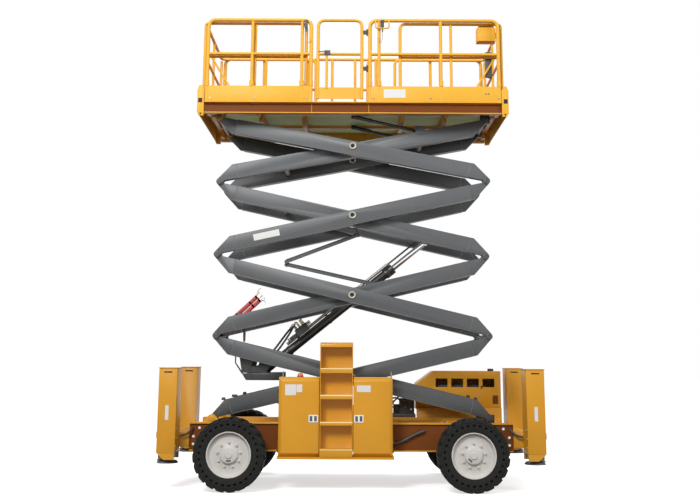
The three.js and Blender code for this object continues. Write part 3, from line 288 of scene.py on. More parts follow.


# %% [markdown]
# ## Finishes
# Sprayed paint is never one flat colour: it is a little uneven, dusty on top and streaked with
# dust low down. One node group, `paint film`, makes that unevenness from noise on Object
# coordinates and gives out a colour, a roughness and a height. It also paints shade into the
# colour: faces turned down are darkened and reddened, and where a paint asks for it, faces turned
# into the arm stack and the lower arms are darkened towards black. Each paint places the group
# with its own values.

# %% Node helpers
def new_group(name, inputs, outputs):
    group = bpy.data.node_groups.new(name, "ShaderNodeTree")
    for label, kind, value in inputs:
        socket = group.interface.new_socket(name=label, in_out="INPUT", socket_type=kind)
        if value is not None:
            socket.default_value = value
    for label, kind in outputs:
        group.interface.new_socket(name=label, in_out="OUTPUT", socket_type=kind)
    return group, group.nodes.new("NodeGroupInput"), group.nodes.new("NodeGroupOutput")


def feed(tree, node, values):
    """Gives each named or numbered input of a node its value, or a link to another socket."""
    for label, value in values.items():
        if hasattr(value, "links"):
            tree.links.new(value, node.inputs[label])
        else:
            node.inputs[label].default_value = value


def noise(tree, coords, scale, detail=4.0, roughness=0.55):
    node = tree.nodes.new("ShaderNodeTexNoise")
    feed(tree, node, {"Scale": scale, "Detail": detail, "Roughness": roughness, "Vector": coords})
    return node.outputs["Fac"]


def spread(tree, value, low, high, to_low=0.0, to_high=1.0):
    node = tree.nodes.new("ShaderNodeMapRange")
    feed(tree, node, {"From Min": low, "From Max": high, "To Min": to_low, "To Max": to_high,
                      "Value": value})
    return node.outputs["Result"]


COLOUR_A, COLOUR_B, COLOUR_RESULT = 6, 7, 2  # a mix node's sockets when it mixes colours


def mix_colour(tree, factor, a, b, mode="MIX"):
    node = tree.nodes.new("ShaderNodeMix")
    node.data_type = "RGBA"
    node.blend_type = mode
    feed(tree, node, {"Factor": factor, COLOUR_A: a, COLOUR_B: b})
    return node.outputs[COLOUR_RESULT]


def maths(tree, kind, a, b=0.5):
    node = tree.nodes.new("ShaderNodeMath")
    node.operation = kind
    feed(tree, node, {0: a, 1: b})
    return node.outputs[0]


# %% The paint film group
FLOAT, COLOUR, VECTOR = "NodeSocketFloat", "NodeSocketColor", "NodeSocketVector"
paint_film, film_in, film_out = new_group(
    "paint film",
    [
        ("Colour", COLOUR, (0.5, 0.5, 0.5, 1)),
        ("Dust Colour", COLOUR, (0.45, 0.40, 0.32, 1)),
        ("Dust", FLOAT, 0.3),
        ("Roughness", FLOAT, 0.35),
        ("Painted Stack Shade", FLOAT, 0.0),
        ("Painted Underside Shade", FLOAT, 0.75),
        ("Coords", VECTOR, None),
    ],
    [("Colour", COLOUR), ("Roughness", FLOAT), ("Height", FLOAT)],
)
coords = film_in.outputs["Coords"]
patches = noise(paint_film, coords, 1.7, 3.0)
specks = noise(paint_film, coords, 38.0, 5.0, 0.7)
peel = noise(paint_film, coords, 260.0, 2.0)
streak_map = paint_film.nodes.new("ShaderNodeMapping")
streak_map.inputs["Scale"].default_value = (22.0, 22.0, 1.4)
paint_film.links.new(coords, streak_map.inputs["Vector"])
streaks = noise(paint_film, streak_map.outputs["Vector"], 1.0, 4.0)
facing = paint_film.nodes.new("ShaderNodeNewGeometry")
up = paint_film.nodes.new("ShaderNodeSeparateXYZ")
paint_film.links.new(facing.outputs["Normal"], up.inputs["Vector"])
height = paint_film.nodes.new("ShaderNodeSeparateXYZ")
paint_film.links.new(coords, height.inputs["Vector"])
low_down = spread(paint_film, height.outputs["Z"], 0.2, 1.1, 1.0, 0.15)
on_top = spread(paint_film, up.outputs["Z"], 0.2, 0.95, 0.25, 1.0)
speckled = maths(paint_film, "MULTIPLY", spread(paint_film, specks, 0.42, 0.72), on_top)
streaked = maths(paint_film, "MULTIPLY", spread(paint_film, streaks, 0.5, 0.85), low_down)
dust = maths(paint_film, "MULTIPLY", maths(paint_film, "ADD", speckled, streaked),
             film_in.outputs["Dust"])
shade = mix_colour(paint_film, spread(paint_film, patches, 0.3, 0.7),
                   (0.9, 0.9, 0.9, 1), (1.0, 1.0, 1.0, 1))
toned = mix_colour(paint_film, 1.0, film_in.outputs["Colour"], shade, "MULTIPLY")
# Painted shade: faces turned down are darkened and reddened by this tint, as paint in shadow
# looks.
painted_underside_shade = maths(paint_film, "MULTIPLY", film_in.outputs["Painted Underside Shade"],
                   spread(paint_film, up.outputs["Z"], -0.9, -0.2, 1.0, 0.0))
toned = mix_colour(paint_film, painted_underside_shade, toned,
                   mix_colour(paint_film, 1.0, toned, (0.42, 0.20, 0.16, 1), "MULTIPLY"))
# Painted shade: faces turned into the arm stack, and the lower arms towards the chassis, are
# darkened towards near-black where a paint asks for it.
painted_inward_shade = spread(paint_film, maths(paint_film, "MULTIPLY", up.outputs["Y"], height.outputs["Y"]),
                -0.30, -0.05, 0.85, 0.0)
painted_stack_shade = maths(paint_film, "MAXIMUM", painted_inward_shade,
               spread(paint_film, height.outputs["Z"], 0.9, 4.3, 0.62, 0.0))
stack_shade_weight = maths(paint_film, "MULTIPLY", film_in.outputs["Painted Stack Shade"], painted_stack_shade)
toned = mix_colour(paint_film, stack_shade_weight, toned, (0.012, 0.013, 0.014, 1))
dusty = mix_colour(paint_film, dust, toned, film_in.outputs["Dust Colour"])
paint_film.links.new(dusty, film_out.inputs["Colour"])
rough = maths(paint_film, "ADD", film_in.outputs["Roughness"],
              maths(paint_film, "MULTIPLY", dust, 0.5))
paint_film.links.new(maths(paint_film, "ADD", rough,
                           spread(paint_film, patches, 0.2, 0.8, -0.04, 0.05)),
                     film_out.inputs["Roughness"])
paint_film.links.new(peel, film_out.inputs["Height"])
print("paint film:", len(paint_film.nodes), "nodes")


# %% Materials from the film
# The last two settings say how much painted shade the film lays on faces turned down and on faces
# inside the arm stack.
def material(name, colour, roughness, dust=0.25, bump=0.1, metallic=0.0, coat=0.0,
             dust_colour=(0.45, 0.40, 0.32), specular=0.5, stack_shade_amount=0.0,
             underside_shade=0.75):
    mat = bpy.data.materials.new(name)
    mat.use_nodes = True
    tree = mat.node_tree
    shader = tree.nodes["Principled BSDF"]
    coordinates = tree.nodes.new("ShaderNodeTexCoord")
    film = tree.nodes.new("ShaderNodeGroup")
    film.node_tree = paint_film
    feed(tree, film, {
        "Colour": (*colour, 1), "Dust Colour": (*dust_colour, 1), "Dust": dust,
        "Roughness": roughness, "Painted Stack Shade": stack_shade_amount, "Painted Underside Shade": underside_shade,
        "Coords": coordinates.outputs["Object"],
    })
    relief = tree.nodes.new("ShaderNodeBump")
    feed(tree, relief, {"Strength": bump, "Distance": 0.001, "Height": film.outputs["Height"]})
    feed(tree, shader, {
        "Base Color": film.outputs["Colour"], "Roughness": film.outputs["Roughness"],
        "Normal": relief.outputs["Normal"], "Metallic": metallic, "Coat Weight": coat,
        "Coat Roughness": 0.12, "Specular IOR Level": specular,
    })
    return mat


orange = material("signal orange paint", (0.66, 0.30, 0.010), 0.42, dust=0.04, coat=0.08,
                  specular=0.35)
deck_orange = material("platform orange paint", (0.82, 0.43, 0.035), 0.5, dust=0.02, coat=0.0,
                       specular=0.3)
# Slate paint takes the full painted shade inside the arm stack and on the lower arms.
slate = material("slate grey paint", (0.105, 0.112, 0.120), 0.45, dust=0.10, stack_shade_amount=1.0)
black = material("black paint", (0.012, 0.0125, 0.013), 0.38, dust=0.12)
primer = material("pale green deck primer", (0.80, 0.92, 0.48), 0.6, dust=0.1, underside_shade=0.0)
rubber = material("tyre rubber", (0.008, 0.0085, 0.0075), 0.75, dust=0.05, bump=0.5, specular=0.22,
                  dust_colour=(0.12, 0.115, 0.10))
wheel_paint = material("wheel paint", (0.60, 0.58, 0.55), 0.4, dust=0.12, coat=0.1)
hose = material("hose rubber", (0.012, 0.012, 0.012), 0.5, dust=0.1, bump=0.3)
plastic = material("dark grey moulding", (0.06, 0.066, 0.072), 0.55, dust=0.1, bump=0.6)
zinc = material("zinc plated steel", (0.62, 0.60, 0.55), 0.3, dust=0.1, metallic=0.9)
chrome = material("hard chrome", (0.72, 0.73, 0.75), 0.1, dust=0.03, bump=0.0, metallic=1.0)
prop_red = material("red paint", (0.42, 0.022, 0.018), 0.4, dust=0.15)
iron = material("engine casting", (0.05, 0.052, 0.055), 0.55, dust=0.3, bump=0.5)
nylon = material("black nylon", (0.02, 0.02, 0.021), 0.45, dust=0.05)
plate_white = material("blank plate", (0.72, 0.72, 0.70), 0.4, dust=0.05)
# Near-black, used as painted shade in holes, bores and slots.
dark_hole = material("unlit bore", (0.006, 0.006, 0.006), 0.8, dust=0.0)
amber = material("amber lens", (0.72, 0.10, 0.012), 0.12, dust=0.03, bump=0.0, coat=0.6)
# small parts, a pale orange as a painted highlight on edges and an orange darkened as painted
# shade
leg_grey = material("leg grey paint", (0.085, 0.088, 0.09), 0.45, dust=0.3)
slate_dark = material("dark slate paint", (0.055, 0.058, 0.062), 0.45, dust=0.2)
weld = material("painted weld bead", (0.16, 0.165, 0.16), 0.5, dust=0.4,
                dust_colour=(0.30, 0.29, 0.23))
ring_steel = material("machined ring", (0.42, 0.40, 0.33), 0.42, dust=0.25, metallic=0.2)
dull_steel = material("dull pipe steel", (0.24, 0.235, 0.21), 0.4, dust=0.3, metallic=0.6)
brass = material("brass and zinc fittings", (0.48, 0.42, 0.30), 0.35, dust=0.2, metallic=0.85)
rubber_smooth = material("buffer rubber", (0.015, 0.015, 0.015), 0.6, dust=0.15)
hub_dark = material("inspection window", (0.03, 0.03, 0.03), 0.5, dust=0.1)
latch_steel = material("bright latch steel", (0.72, 0.71, 0.68), 0.3, dust=0.1, metallic=0.5)
edge_highlight_paint = material("painted edge highlight", (0.86, 0.66, 0.26), 0.45, dust=0.3)
shade_orange = material("orange paint in shade", (0.17, 0.048, 0.008), 0.6, dust=0.0,
                        specular=0.15)

# %% [markdown]
# ## The frame's own pieces
# Most of the machine is folded plate and welded box section, which the frame holds already. They
# could be drawn again from outlines; copying each one, merging its triangles into flat faces and
# rounding its edges keeps every hole on its pin and takes one line a piece. Round rails, wheels,
# tyres and doors need finer shapes than the frame's, so they are left for later steps.

# %% Dress the plate work
FINISH_OF = {
    "arm_paint": slate, "black_paint": black, "block_nylon": nylon, "chrome_rod": chrome,
    "prop_red": prop_red, "leg_paint": leg_grey, "orange_paint": orange,
    "plastic_grey": plastic, "engine_iron": iron,
}
slots = {s["node"]: s["material_slot"] for s in frame["record"]["subparts"]}
DRAWN_AGAIN = ("tyre_", "wheel_", "guardrail_", "gate", "extension_", "beacon", "hose_",
               "control_box", "document_box", "maintenance_prop", "cabinet_left_door",
               "cabinet_right_door")
for name in frame["nodes"]:
    if name.startswith(DRAWN_AGAIN):
        continue
    width = 0.005 if name.startswith("arm_") else 0.004
    if name.startswith(("cabinet_", "ladder")):
        width = 0.007
    dressed(name, FINISH_OF[slots[name]], width)

# %% [markdown]
# ## Scissor arms: welds and pins
# An arm is a box section with a shaped plate welded into each end. The weld leaves a raised
# bead round the plate's root, and a second bead runs along the section's lower corner. Beads
# could be painted on with a bump; a thin tube laid in each corner catches the light as the real
# bead does.

# %% Weld beads of each arm
RISING = {"outer": {4: True, 3: False, 2: True, 1: False},
          "inner": {4: False, 3: True, 2: False, 1: True}}
ARM_Y = {"outer": OUTER_Y, "inner": INNER_Y}
END_PLATE = 0.250
HALF_HEIGHT = ARM_HEIGHT / 2


def arm_line(level, rising, places, y):
    return [(x, y, z) for x, z in (on_arm(level, rising, u, v) for u, v in places)]


for kind, middle_y in ARM_Y.items():
    for level in LEVELS:
        rising = RISING[kind][level]
        low, high = REACH[level]
        beads = bmesh.new()
        for y in [s * middle_y + f * ARM_WIDTH / 2 for s in (-1, 1) for f in (-1, 1)]:
            for sign, reach in ((-1, low), (1, high)):
                u, v = sign * (reach - END_PLATE), sign * HALF_HEIGHT * 0.97
                seam = arm_line(level, rising, [(u, v), (u + sign * 0.012, 0), (u, -v)], y)
                tube(beads, seam, 0.0035, bend=0.05, sides=8)
            foot = 0.002 - HALF_HEIGHT
            edge = [(-low + END_PLATE, foot), (high - END_PLATE, foot)]
            tube(beads, arm_line(level, rising, edge, y), 0.0032, sides=8)
        finish_piece(f"arm_{kind}_{level}_beads", beads, weld, f"arm_{kind}_{level}")

# %% [markdown]
# The centre pins are hollow: a bright machined ring stands proud of the arm round a dark bore.
# Turning one profile gives the ring its chamfers, and a second disc closes the bore a little
# way in; the disc is near-black, painted shade for the unlit bore.

# %% Centre pin rings
for level in LEVELS:
    rings, bores = bmesh.new(), bmesh.new()
    for side in (-1, 1):
        for y, facing in ((side * (OUTER_Y + ARM_WIDTH / 2), side),
                          (side * (INNER_Y - ARM_WIDTH / 2), -side)):
            centre = (0, y, CENTRE_Z[level])
            turned(rings, [(0.026, 0.001), (0.026, 0.017), (0.029, 0.019), (0.043, 0.019),
                           (0.047, 0.015), (0.047, 0.001)], centre, (0, facing, 0), 32)
            collar(bores, 0, 0.0265, 0.0135, 0.0125, centre, (0, facing, 0), 24)
            turned(bores, [(0, 0.0134), (0, 0.0165), (0.006, 0.0165), (0.008, 0.0134)],
                   centre, (0, facing, 0), 12)
    finish_piece(f"centre_rings_{level}", rings, ring_steel, f"arm_outer_{level}")
    finish_piece(f"centre_bores_{level}", bores, dark_hole, f"arm_outer_{level}")

# %% [markdown]
# End pins show as shallow dished caps on both cheeks of a fork. They belong to the arm that
# carries the pin, so they turn with it.

# %% End pin caps
for level in LEVELS[:3]:
    for kind, middle_y in ARM_Y.items():
        caps = bmesh.new()
        x, z = on_arm(level, RISING[kind][level], REACH[level][1], PIN_OFFSET)
        for y, facing in [(s * middle_y, f) for s in (-1, 1) for f in (-1, 1)]:
            at = (x, y + facing * (ARM_WIDTH / 2 + 0.003), z)
            turned(caps, [(0, 0), (0.036, 0), (0.036, 0.003), (0.030, 0.0065), (0.018, 0.0065),
                          (0.013, 0.002), (0, 0.002)], at, (0, facing, 0), 28)
        finish_piece(f"end_caps_{kind}_{level}", caps, slate_dark, f"arm_{kind}_{level}")

# %% [markdown]
# Rubber buffers on the lowest arms land on the chassis when the lift is fully down. A blank
# plate takes the place of a printed notice on one arm, and a small lug plate marks where the
# platform's strut is pinned.

# %% Buffers, blank plate and lug plate
for kind, places in (("outer", (-1.58, -1.43)), ("inner", (-1.545,))):
    buffers = bmesh.new()
    for u in places:
        x, z = on_arm(4, RISING[kind][4], u, HALF_HEIGHT)
        for y in (-ARM_Y[kind], ARM_Y[kind]):
            rod(buffers, (x, y, z - 0.004), (x, y, z + 0.028), 0.027, 20, 0.021)
    finish_piece(f"arm_buffers_{kind}", buffers, rubber_smooth, f"arm_{kind}_4")

plate, part = bmesh.new(), bmesh.new()
block(part, -0.165, 0.165, -0.0012, 0.0012, -0.040, 0.040)
x, z = on_arm(2, True, -1.105, 0.008)
gather(plate, part, Matrix.Translation((x, -OUTER_Y - ARM_WIDTH / 2 - 0.0012, z))
       @ Matrix.Rotation(-SLOPE[2], 4, "Y"))
finish_piece("arm_blank_plate", plate, plate_white, "arm_outer_2")

lugs = bmesh.new()
for side in (-1, 1):
    y = side * (INNER_Y + ARM_WIDTH / 2)
    block(lugs, 0.808, 0.932, *sorted((y, y + side * 0.007)), 4.352, 4.47)
soften(lugs, 0.003)
finish_piece("strut_lug", lugs, slate, "arm_inner_1")

# %% [markdown]
# ## The lift cylinder
# One hydraulic cylinder stands between the arms: a black barrel with a bolted gland, a bright
# rod, a pipe along its upper side and a valve block near its foot with hoses to the chassis.
# All of it is laid out along the cylinder's own line, from the record's swing and stroke joints.

# %% Barrel trim
FOOT = joint_at["cylinder_swing"]
ALONG = Vector(next(j["axis"] for j in frame["joints"] if j["name"] == "cylinder_stroke"))
ACROSS = Vector((-ALONG.z, 0, ALONG.x))


def by_rod(d, off=0.0, y=0.0):
    return FOOT + ALONG * d + ACROSS * off + Vector((0, y, 0))


BY_ROD = slanted(ACROSS, ALONG)
trim = bmesh.new()
turned(trim, [(0.040, 1.99), (0.066, 1.99), (0.068, 2.00), (0.068, 2.045), (0.0655, 2.05),
              (0.068, 2.055), (0.068, 2.118), (0.064, 2.124), (0.040, 2.124)], FOOT, ALONG, 40)
for d in (0.42, 1.05, 1.62):
    collar(trim, 0.0555, 0.0605, d, d + 0.03, FOOT, ALONG, 40)
for d in (0.60, 1.05, 1.62, 2.02):
    part = bmesh.new()
    block(part, -0.026, -0.014, -0.024, 0.024, d, d + 0.035)
    gather(trim, part, Matrix.Translation(FOOT + ACROSS * 0.078) @ BY_ROD)
part = bmesh.new()
block(part, 0.055, 0.150, -0.165, -0.052, 0.63, 0.80)
block(part, 0.060, 0.120, -0.130, -0.060, 0.52, 0.64)
gather(trim, part, Matrix.Translation(FOOT) @ BY_ROD)
soften(trim, 0.003)
finish_piece("barrel_trim", trim, black, "cylinder_barrel")

PIPE_OFF = 0.081  # the pipe and the rod's guide share this line above the barrel
pipes = bmesh.new()
collar(pipes, 0.0145, 0.0195, 0.45, 2.10, FOOT + ACROSS * PIPE_OFF, ALONG, 24)
finish_piece("barrel_pipe", pipes, dull_steel, "cylinder_barrel")

# %% [markdown]
# Brass and zinc fittings turn the hoses into the block. Each is a hexagon with a turned collar
# and a short stub, so one helper makes them all at different sizes.

# %% Fittings and hoses of the valve block
def fitting(bm, at, towards, size, length):
    at, axis = Vector(at), Vector(towards).normalized()
    rod(bm, at, at + axis * length * 0.45, size, 6)
    rod(bm, at + axis * length * 0.45, at + axis * length * 0.6, size * 0.72, 16)
    rod(bm, at + axis * length * 0.6, at + axis * length, size * 0.88, 6)


fittings = bmesh.new()
for d, off, y, size in ((0.665, 0.150, -0.085, 0.019), (0.715, 0.150, -0.135, 0.017),
                        (0.765, 0.150, -0.09, 0.020), (0.78, 0.140, -0.14, 0.016)):
    fitting(fittings, by_rod(d, off, y), ACROSS, size, 0.075)
for off, y, size in ((0.135, -0.09, 0.016), (0.11, -0.14, 0.015)):
    fitting(fittings, by_rod(0.80, off, y), ALONG, size, 0.06)
for d, y in ((0.665, -0.085), (0.715, -0.135)):
    fitting(fittings, by_rod(d, 0.225, y), -ALONG - ACROSS * 0.25, 0.017, 0.06)
for d in (0.50, 0.57):
    fitting(fittings, by_rod(d, 0.098, -0.03), ACROSS, 0.013, 0.03)
soften(fittings, 0.001, 1)
finish_piece("valve_fittings", fittings, brass, "cylinder_barrel")

hoses = bmesh.new()
for run in (
    ((0.63, 0.212, -0.085), (0.52, 0.190, -0.09), (0.30, 0.128, -0.10), (0.12, 0.098, -0.11)),
    ((0.68, 0.212, -0.135), (0.56, 0.160, -0.14), (0.33, 0.088, -0.14), (0.12, 0.060, -0.14)),
):
    tube(hoses, [by_rod(*place) for place in run], 0.0135, bend=0.08, sides=16)
finish_piece("cylinder_hoses", hoses, hose, "cylinder_barrel")

guide = bmesh.new()
rod(guide, by_rod(1.13, PIPE_OFF), by_rod(2.63, PIPE_OFF), 0.0115, 16)
part = bmesh.new()
block(part, 0.030, 0.100, -0.02, 0.02, 2.616, 2.636)
gather(guide, part, Matrix.Translation(FOOT) @ BY_ROD)
finish_piece("rod_guide", guide, black, "cylinder_rod")

# %% [markdown]
# The cylinder pushes on a welded saddle under the lowest inner arms: side plates with an arched
# opening, a bottom plate and a strap at the end. Four flat outlines, thickened, make each side.

# %% Saddle under the inner arms
SADDLE_IN, SADDLE_OUT = INNER_Y - 0.088, INNER_Y - 0.070
saddle = bmesh.new()
for side in (-1, 1):
    y0, y1 = mirrored(side, SADDLE_IN, SADDLE_OUT)
    prism(saddle, [(-1.367, 1.330), (-1.318, 1.252), (-1.305, 1.246), (-0.885, 1.246),
                   (-0.862, 1.270), (-0.860, 1.340), (-1.06, 1.337)], y0, y1)
    prism(saddle, [(-1.400, 1.53), (-1.367, 1.335), (-1.255, 1.337), (-1.250, 1.41),
                   (-1.235, 1.465), (-1.215, 1.49)], y0, y1)
    prism(saddle, [(-1.250, 1.41), (-1.255, 1.337), (-1.060, 1.337), (-1.03, 1.44),
                   (-1.14, 1.47), (-1.165, 1.43)], y0, y1)
    prism(saddle, [(-1.456, 1.545), (-1.456, 1.455), (-1.367, 1.322), (-1.352, 1.335),
                   (-1.442, 1.460), (-1.440, 1.540)], y0, y1)
block(saddle, -1.30, -0.90, -SADDLE_IN, SADDLE_IN, 1.246, 1.258)
block(saddle, -1.372, -1.360, -SADDLE_IN, SADDLE_IN, 1.335, 1.50)
soften(saddle, 0.003)
for side in (-1, 1):
    bolt(saddle, (-1.245, side * SADDLE_OUT, 1.297), (0, side, 0), 0.02)
finish_piece("cylinder_saddle", saddle, black, "arm_inner_4")

# %% [markdown]
# ## Maintenance prop
# A red prop is swung out to hold the arms apart during service. It is a pair of flat bars with a
# groove between them, tied by cross pieces, and it ends in bright sprung pins.

# %% Prop and its end pins
HINGE = joint_at["prop_swing"]
PROP_SLOPE = math.radians(43)
PROP_LENGTH = 0.690
PROP_LINE = Vector((math.cos(PROP_SLOPE), 0, math.sin(PROP_SLOPE)))
PROP_UP = Vector((-PROP_LINE.z, 0, PROP_LINE.x))
PROP_Y = ARM_WIDTH / 2 + 0.080 - INNER_Y
prop = bmesh.new()
part = bmesh.new()
for y in (-0.034, 0.022):
    block(part, 0.02, PROP_LENGTH, y, y + 0.012, -0.052, -0.006)
    block(part, 0.02, PROP_LENGTH, y, y + 0.012, 0.006, 0.052)
for d in (0.12, 0.34, 0.56, 0.665):
    block(part, d, d + 0.025, -0.034, 0.034, -0.050, 0.050)
gather(prop, part, Matrix.Translation((HINGE.x, PROP_Y, HINGE.z)) @ slanted(PROP_LINE, PROP_UP))
for y in (-0.034, 0.018):
    collar(prop, 0.0335, 0.058, y, y + 0.016, (HINGE.x, PROP_Y, HINGE.z))
soften(prop, 0.002)
finish_piece("prop_bars", prop, prop_red, "maintenance_prop", ("maintenance_prop",))


def on_prop(d, up, y=0.0):
    return Vector((HINGE.x, PROP_Y + y, HINGE.z)) + PROP_LINE * d + PROP_UP * up


pins = bmesh.new()
for up, y in ((0.042, -0.02), (-0.042, -0.02), (0.0, 0.02)):
    rod(pins, on_prop(0.675, up, y), on_prop(0.735, up * 1.15, y), 0.008, 12)
    rod(pins, on_prop(0.735, up * 1.15, y), on_prop(0.75, up * 1.15, y), 0.012, 12)
for spring in (((0.70, 0.045), (0.745, 0.075), (0.80, 0.075)),
               ((0.70, -0.045), (0.73, -0.085), (0.70, -0.12))):
    tube(pins, [on_prop(d, up, -0.03) for d, up in spring], 0.005, bend=0.02, sides=8)
finish_piece("prop_pins", pins, zinc, "maintenance_prop")

CATCH_X, CATCH_Y = -1.346, 0.072 - INNER_Y
strap = bmesh.new()
block(strap, CATCH_X - 0.016, CATCH_X + 0.016, CATCH_Y - 0.006, CATCH_Y + 0.006, 1.775, 1.90)
rod(strap, (CATCH_X, CATCH_Y, 1.73), (CATCH_X, CATCH_Y, 1.79), 0.015, 12)
soften(strap, 0.002)
finish_piece("prop_catch", strap, black, "arm_inner_3")
tip = bmesh.new()
rod(tip, (CATCH_X, CATCH_Y, 1.712), (CATCH_X, CATCH_Y, 1.732), 0.012, 12)
finish_piece("prop_catch_tip", tip, prop_red, "arm_inner_3")

# %% [markdown]
# ## Hose carrier
# Hoses cross from one level to the next on a folding carrier: two slim bars that meet at a
# knee, each pinned to its arms. A bar is solid, with raised cheeks, and its hose lies on top.

# %% Folding hose carrier
def carrier(name, a, b, y, body, replaces, pin_z):
    """One bar of the carrier from a to b, its pin on an arm's centre, and the hose on top."""
    bm = bmesh.new()
    a, b = Vector(a), Vector(b)
    line = (b - a).normalized()
    up = Vector((-line.z, 0, line.x))
    part = bmesh.new()
    length = (b - a).length
    for dy in (-0.012, 0.008):
        block(part, 0, length, dy, dy + 0.004, -0.019, 0.019)
    block(part, 0, length, -0.0085, 0.0085, -0.016, 0.016)
    gather(bm, part, Matrix.Translation((a.x, y, a.z)) @ slanted(line, up))
    for at in (a, b):
        collar(bm, 0, 0.026, -0.013, 0.013, (at.x, y, at.z), sides=20)
    rod(bm, (0, y, pin_z), (b.x, y, b.z), 0.011, 12)
    rod(bm, (0, y + 0.008, pin_z), (0, ARM_WIDTH / 2 + 0.008 - INNER_Y, pin_z), 0.018, 16)
    soften(bm, 0.0015, 1)
    finish_piece(name, bm, slate_dark, body, replaces)
    inside = bmesh.new()
    tube(inside, [a + up * 0.022, b + up * 0.022], 0.009, sides=10)
    bmesh.ops.translate(inside, verts=inside.verts, vec=(0, y, 0))
    finish_piece(name + "_hose", inside, hose, body)


KNEE = (-0.836, 2.700)
CARRIER_Y = ARM_WIDTH / 2 + 0.023 - INNER_Y
carrier("carrier_upper", (KNEE[0], 0, KNEE[1] + 0.018), (0.073, 0, CENTRE_Z[2] - 0.222),
        CARRIER_Y, "arm_outer_2", ("hose_run_upper",), CENTRE_Z[2])
carrier("carrier_lower", (KNEE[0], 0, KNEE[1] - 0.018), (0.229, 0, CENTRE_Z[3] + 0.160),
        CARRIER_Y + 0.032, "arm_outer_3", ("hose_run_lower",), CENTRE_Z[3])

# %% [markdown]
# ## Tyres
# Rough-terrain lifts run on solid tyres with chunky lugs and a ring of cavities in the
# sidewall that soften the ride. A lug could be sculpted, but a cube mapped into polar
# coordinates gives one curved, slanted lug, and the same lug is placed all round the carcass.
# The cavities are single faces of the turned sidewall, inset and pushed in.

# %% One tyre
TYRE_RADIUS, LUG_FOOT, LUGS = 0.419, 0.386, 20
CARCASS_STEPS = 60
HALF_PROFILE = ((0.2545, 0.118), (0.262, 0.126), (0.300, 0.139), (0.326, 0.143), (0.352, 0.1435),
                (0.372, 0.142), (0.388, 0.138), (0.397, 0.120), (0.4, 0.06))


def lug(bm, angle, side):
    """One lug, from its shoulder on one side to just past the middle of the tread."""
    part = bmesh.new()
    bmesh.ops.create_cube(part, size=1)
    bmesh.ops.subdivide_edges(part, edges=part.edges[:], cuts=2, use_grid_fill=True)
    for v in part.verts:
        across, around, out = v.co.y + 0.5, v.co.x, v.co.z
        y = side * (-0.018 + across * 0.172)
        width = 0.105 - 0.022 * across * (1 if out > 0 else 0)
        radius = LUG_FOOT + (out + 0.5) * (TYRE_RADIUS - LUG_FOOT)
        if across > 0.99:
            y = side * (0.150 if out < 0 else 0.140)
            radius = 0.375 if out < -0.4 else radius - 0.004
        turn = angle + around * width / TYRE_RADIUS + (across - 0.3) * 0.10
        v.co = (radius * math.cos(turn), y, radius * math.sin(turn))
    gather(bm, part)


def tyre_mesh():
    bm = bmesh.new()
    part = bmesh.new()
    profile = [(r, -w) for r, w in HALF_PROFILE] + list(reversed(HALF_PROFILE))
    verts = [part.verts.new((r, 0, d)) for r, d in profile]
    edges = [part.edges.new((verts[i - 1], verts[i])) for i in range(len(verts))]
    bmesh.ops.spin(part, geom=verts + edges, cent=(0, 0, 0), axis=(0, 0, 1),
                   angle=math.tau, steps=CARCASS_STEPS, use_merge=True)
    bmesh.ops.remove_doubles(part, verts=part.verts, dist=1e-6)
    bmesh.ops.recalc_face_normals(part, faces=part.faces)
    cavities = []
    for face in part.faces:
        centre = face.calc_center_median()
        step = round(math.atan2(centre.y, centre.x) / math.tau * CARCASS_STEPS - 0.5)
        if 0.330 < centre.xy.length < 0.350 and step % 2 == 0:
            cavities.append(face)
    bmesh.ops.inset_individual(part, faces=cavities, thickness=0.004, depth=-0.028)
    gather(bm, part, Matrix.Rotation(math.radians(90), 4, "X"))
    lugs = bmesh.new()
    for k in range(LUGS):
        lug(lugs, math.tau * k / LUGS, 1)
        lug(lugs, math.tau * (k + 0.5) / LUGS, -1)
    gather(bm, lugs)
    soften(bm, 0.0035, 1, 40)
    mesh = bpy.data.meshes.new("tyre")
    bm.to_mesh(mesh)
    bm.free()
    return mesh


tyre = tyre_mesh()
print("tyre:", len(tyre.polygons), "faces")

# %% [markdown]
# ## Wheels
# The wheel is a pressed dish in off-white paint: a rolled edge, a shallow dish, nuts on their
# circle and a raised hub cap with a small inspection window. Only the outline is turned; nuts
# are hexagons set round it.

# %% One wheel
NUTS, NUT_CIRCLE = 9, 0.136


def wheel_mesh(facing):
    bm = bmesh.new()
    turned(bm, [(0, 0.02), (0, 0.126), (0.036, 0.126), (0.041, 0.122), (0.043, 0.114),
                (0.088, 0.112), (0.098, 0.107), (0.106, 0.098), (0.108, 0.084), (0.116, 0.080),
                (0.160, 0.078), (0.205, 0.069), (0.222, 0.071), (0.233, 0.084), (0.239, 0.110),
                (0.244, 0.121), (0.250, 0.1255), (0.257, 0.1255), (0.262, 0.122), (0.262, 0.118),
                (0.251, 0.117), (0.251, -0.116), (0.222, -0.116), (0.222, 0.03), (0.07, 0.02)],
           (0, 0, 0), (0, facing, 0), 72)
    for k in range(NUTS):
        a = math.tau * (k + 0.25) / NUTS
        at = Vector((NUT_CIRCLE * math.cos(a), facing * 0.0785, NUT_CIRCLE * math.sin(a)))
        for height, radius, sides in ((0.006, 0.019, 20), (0.020, 0.0135, 6), (0.030, 0.0065, 12)):
            rod(bm, at, at + Vector((0, facing * height, 0)), radius, sides)
    mesh = bpy.data.meshes.new("wheel")
    bmesh.ops.recalc_face_normals(bm, faces=bm.faces)
    bm.to_mesh(mesh)
    bm.free()
    return mesh


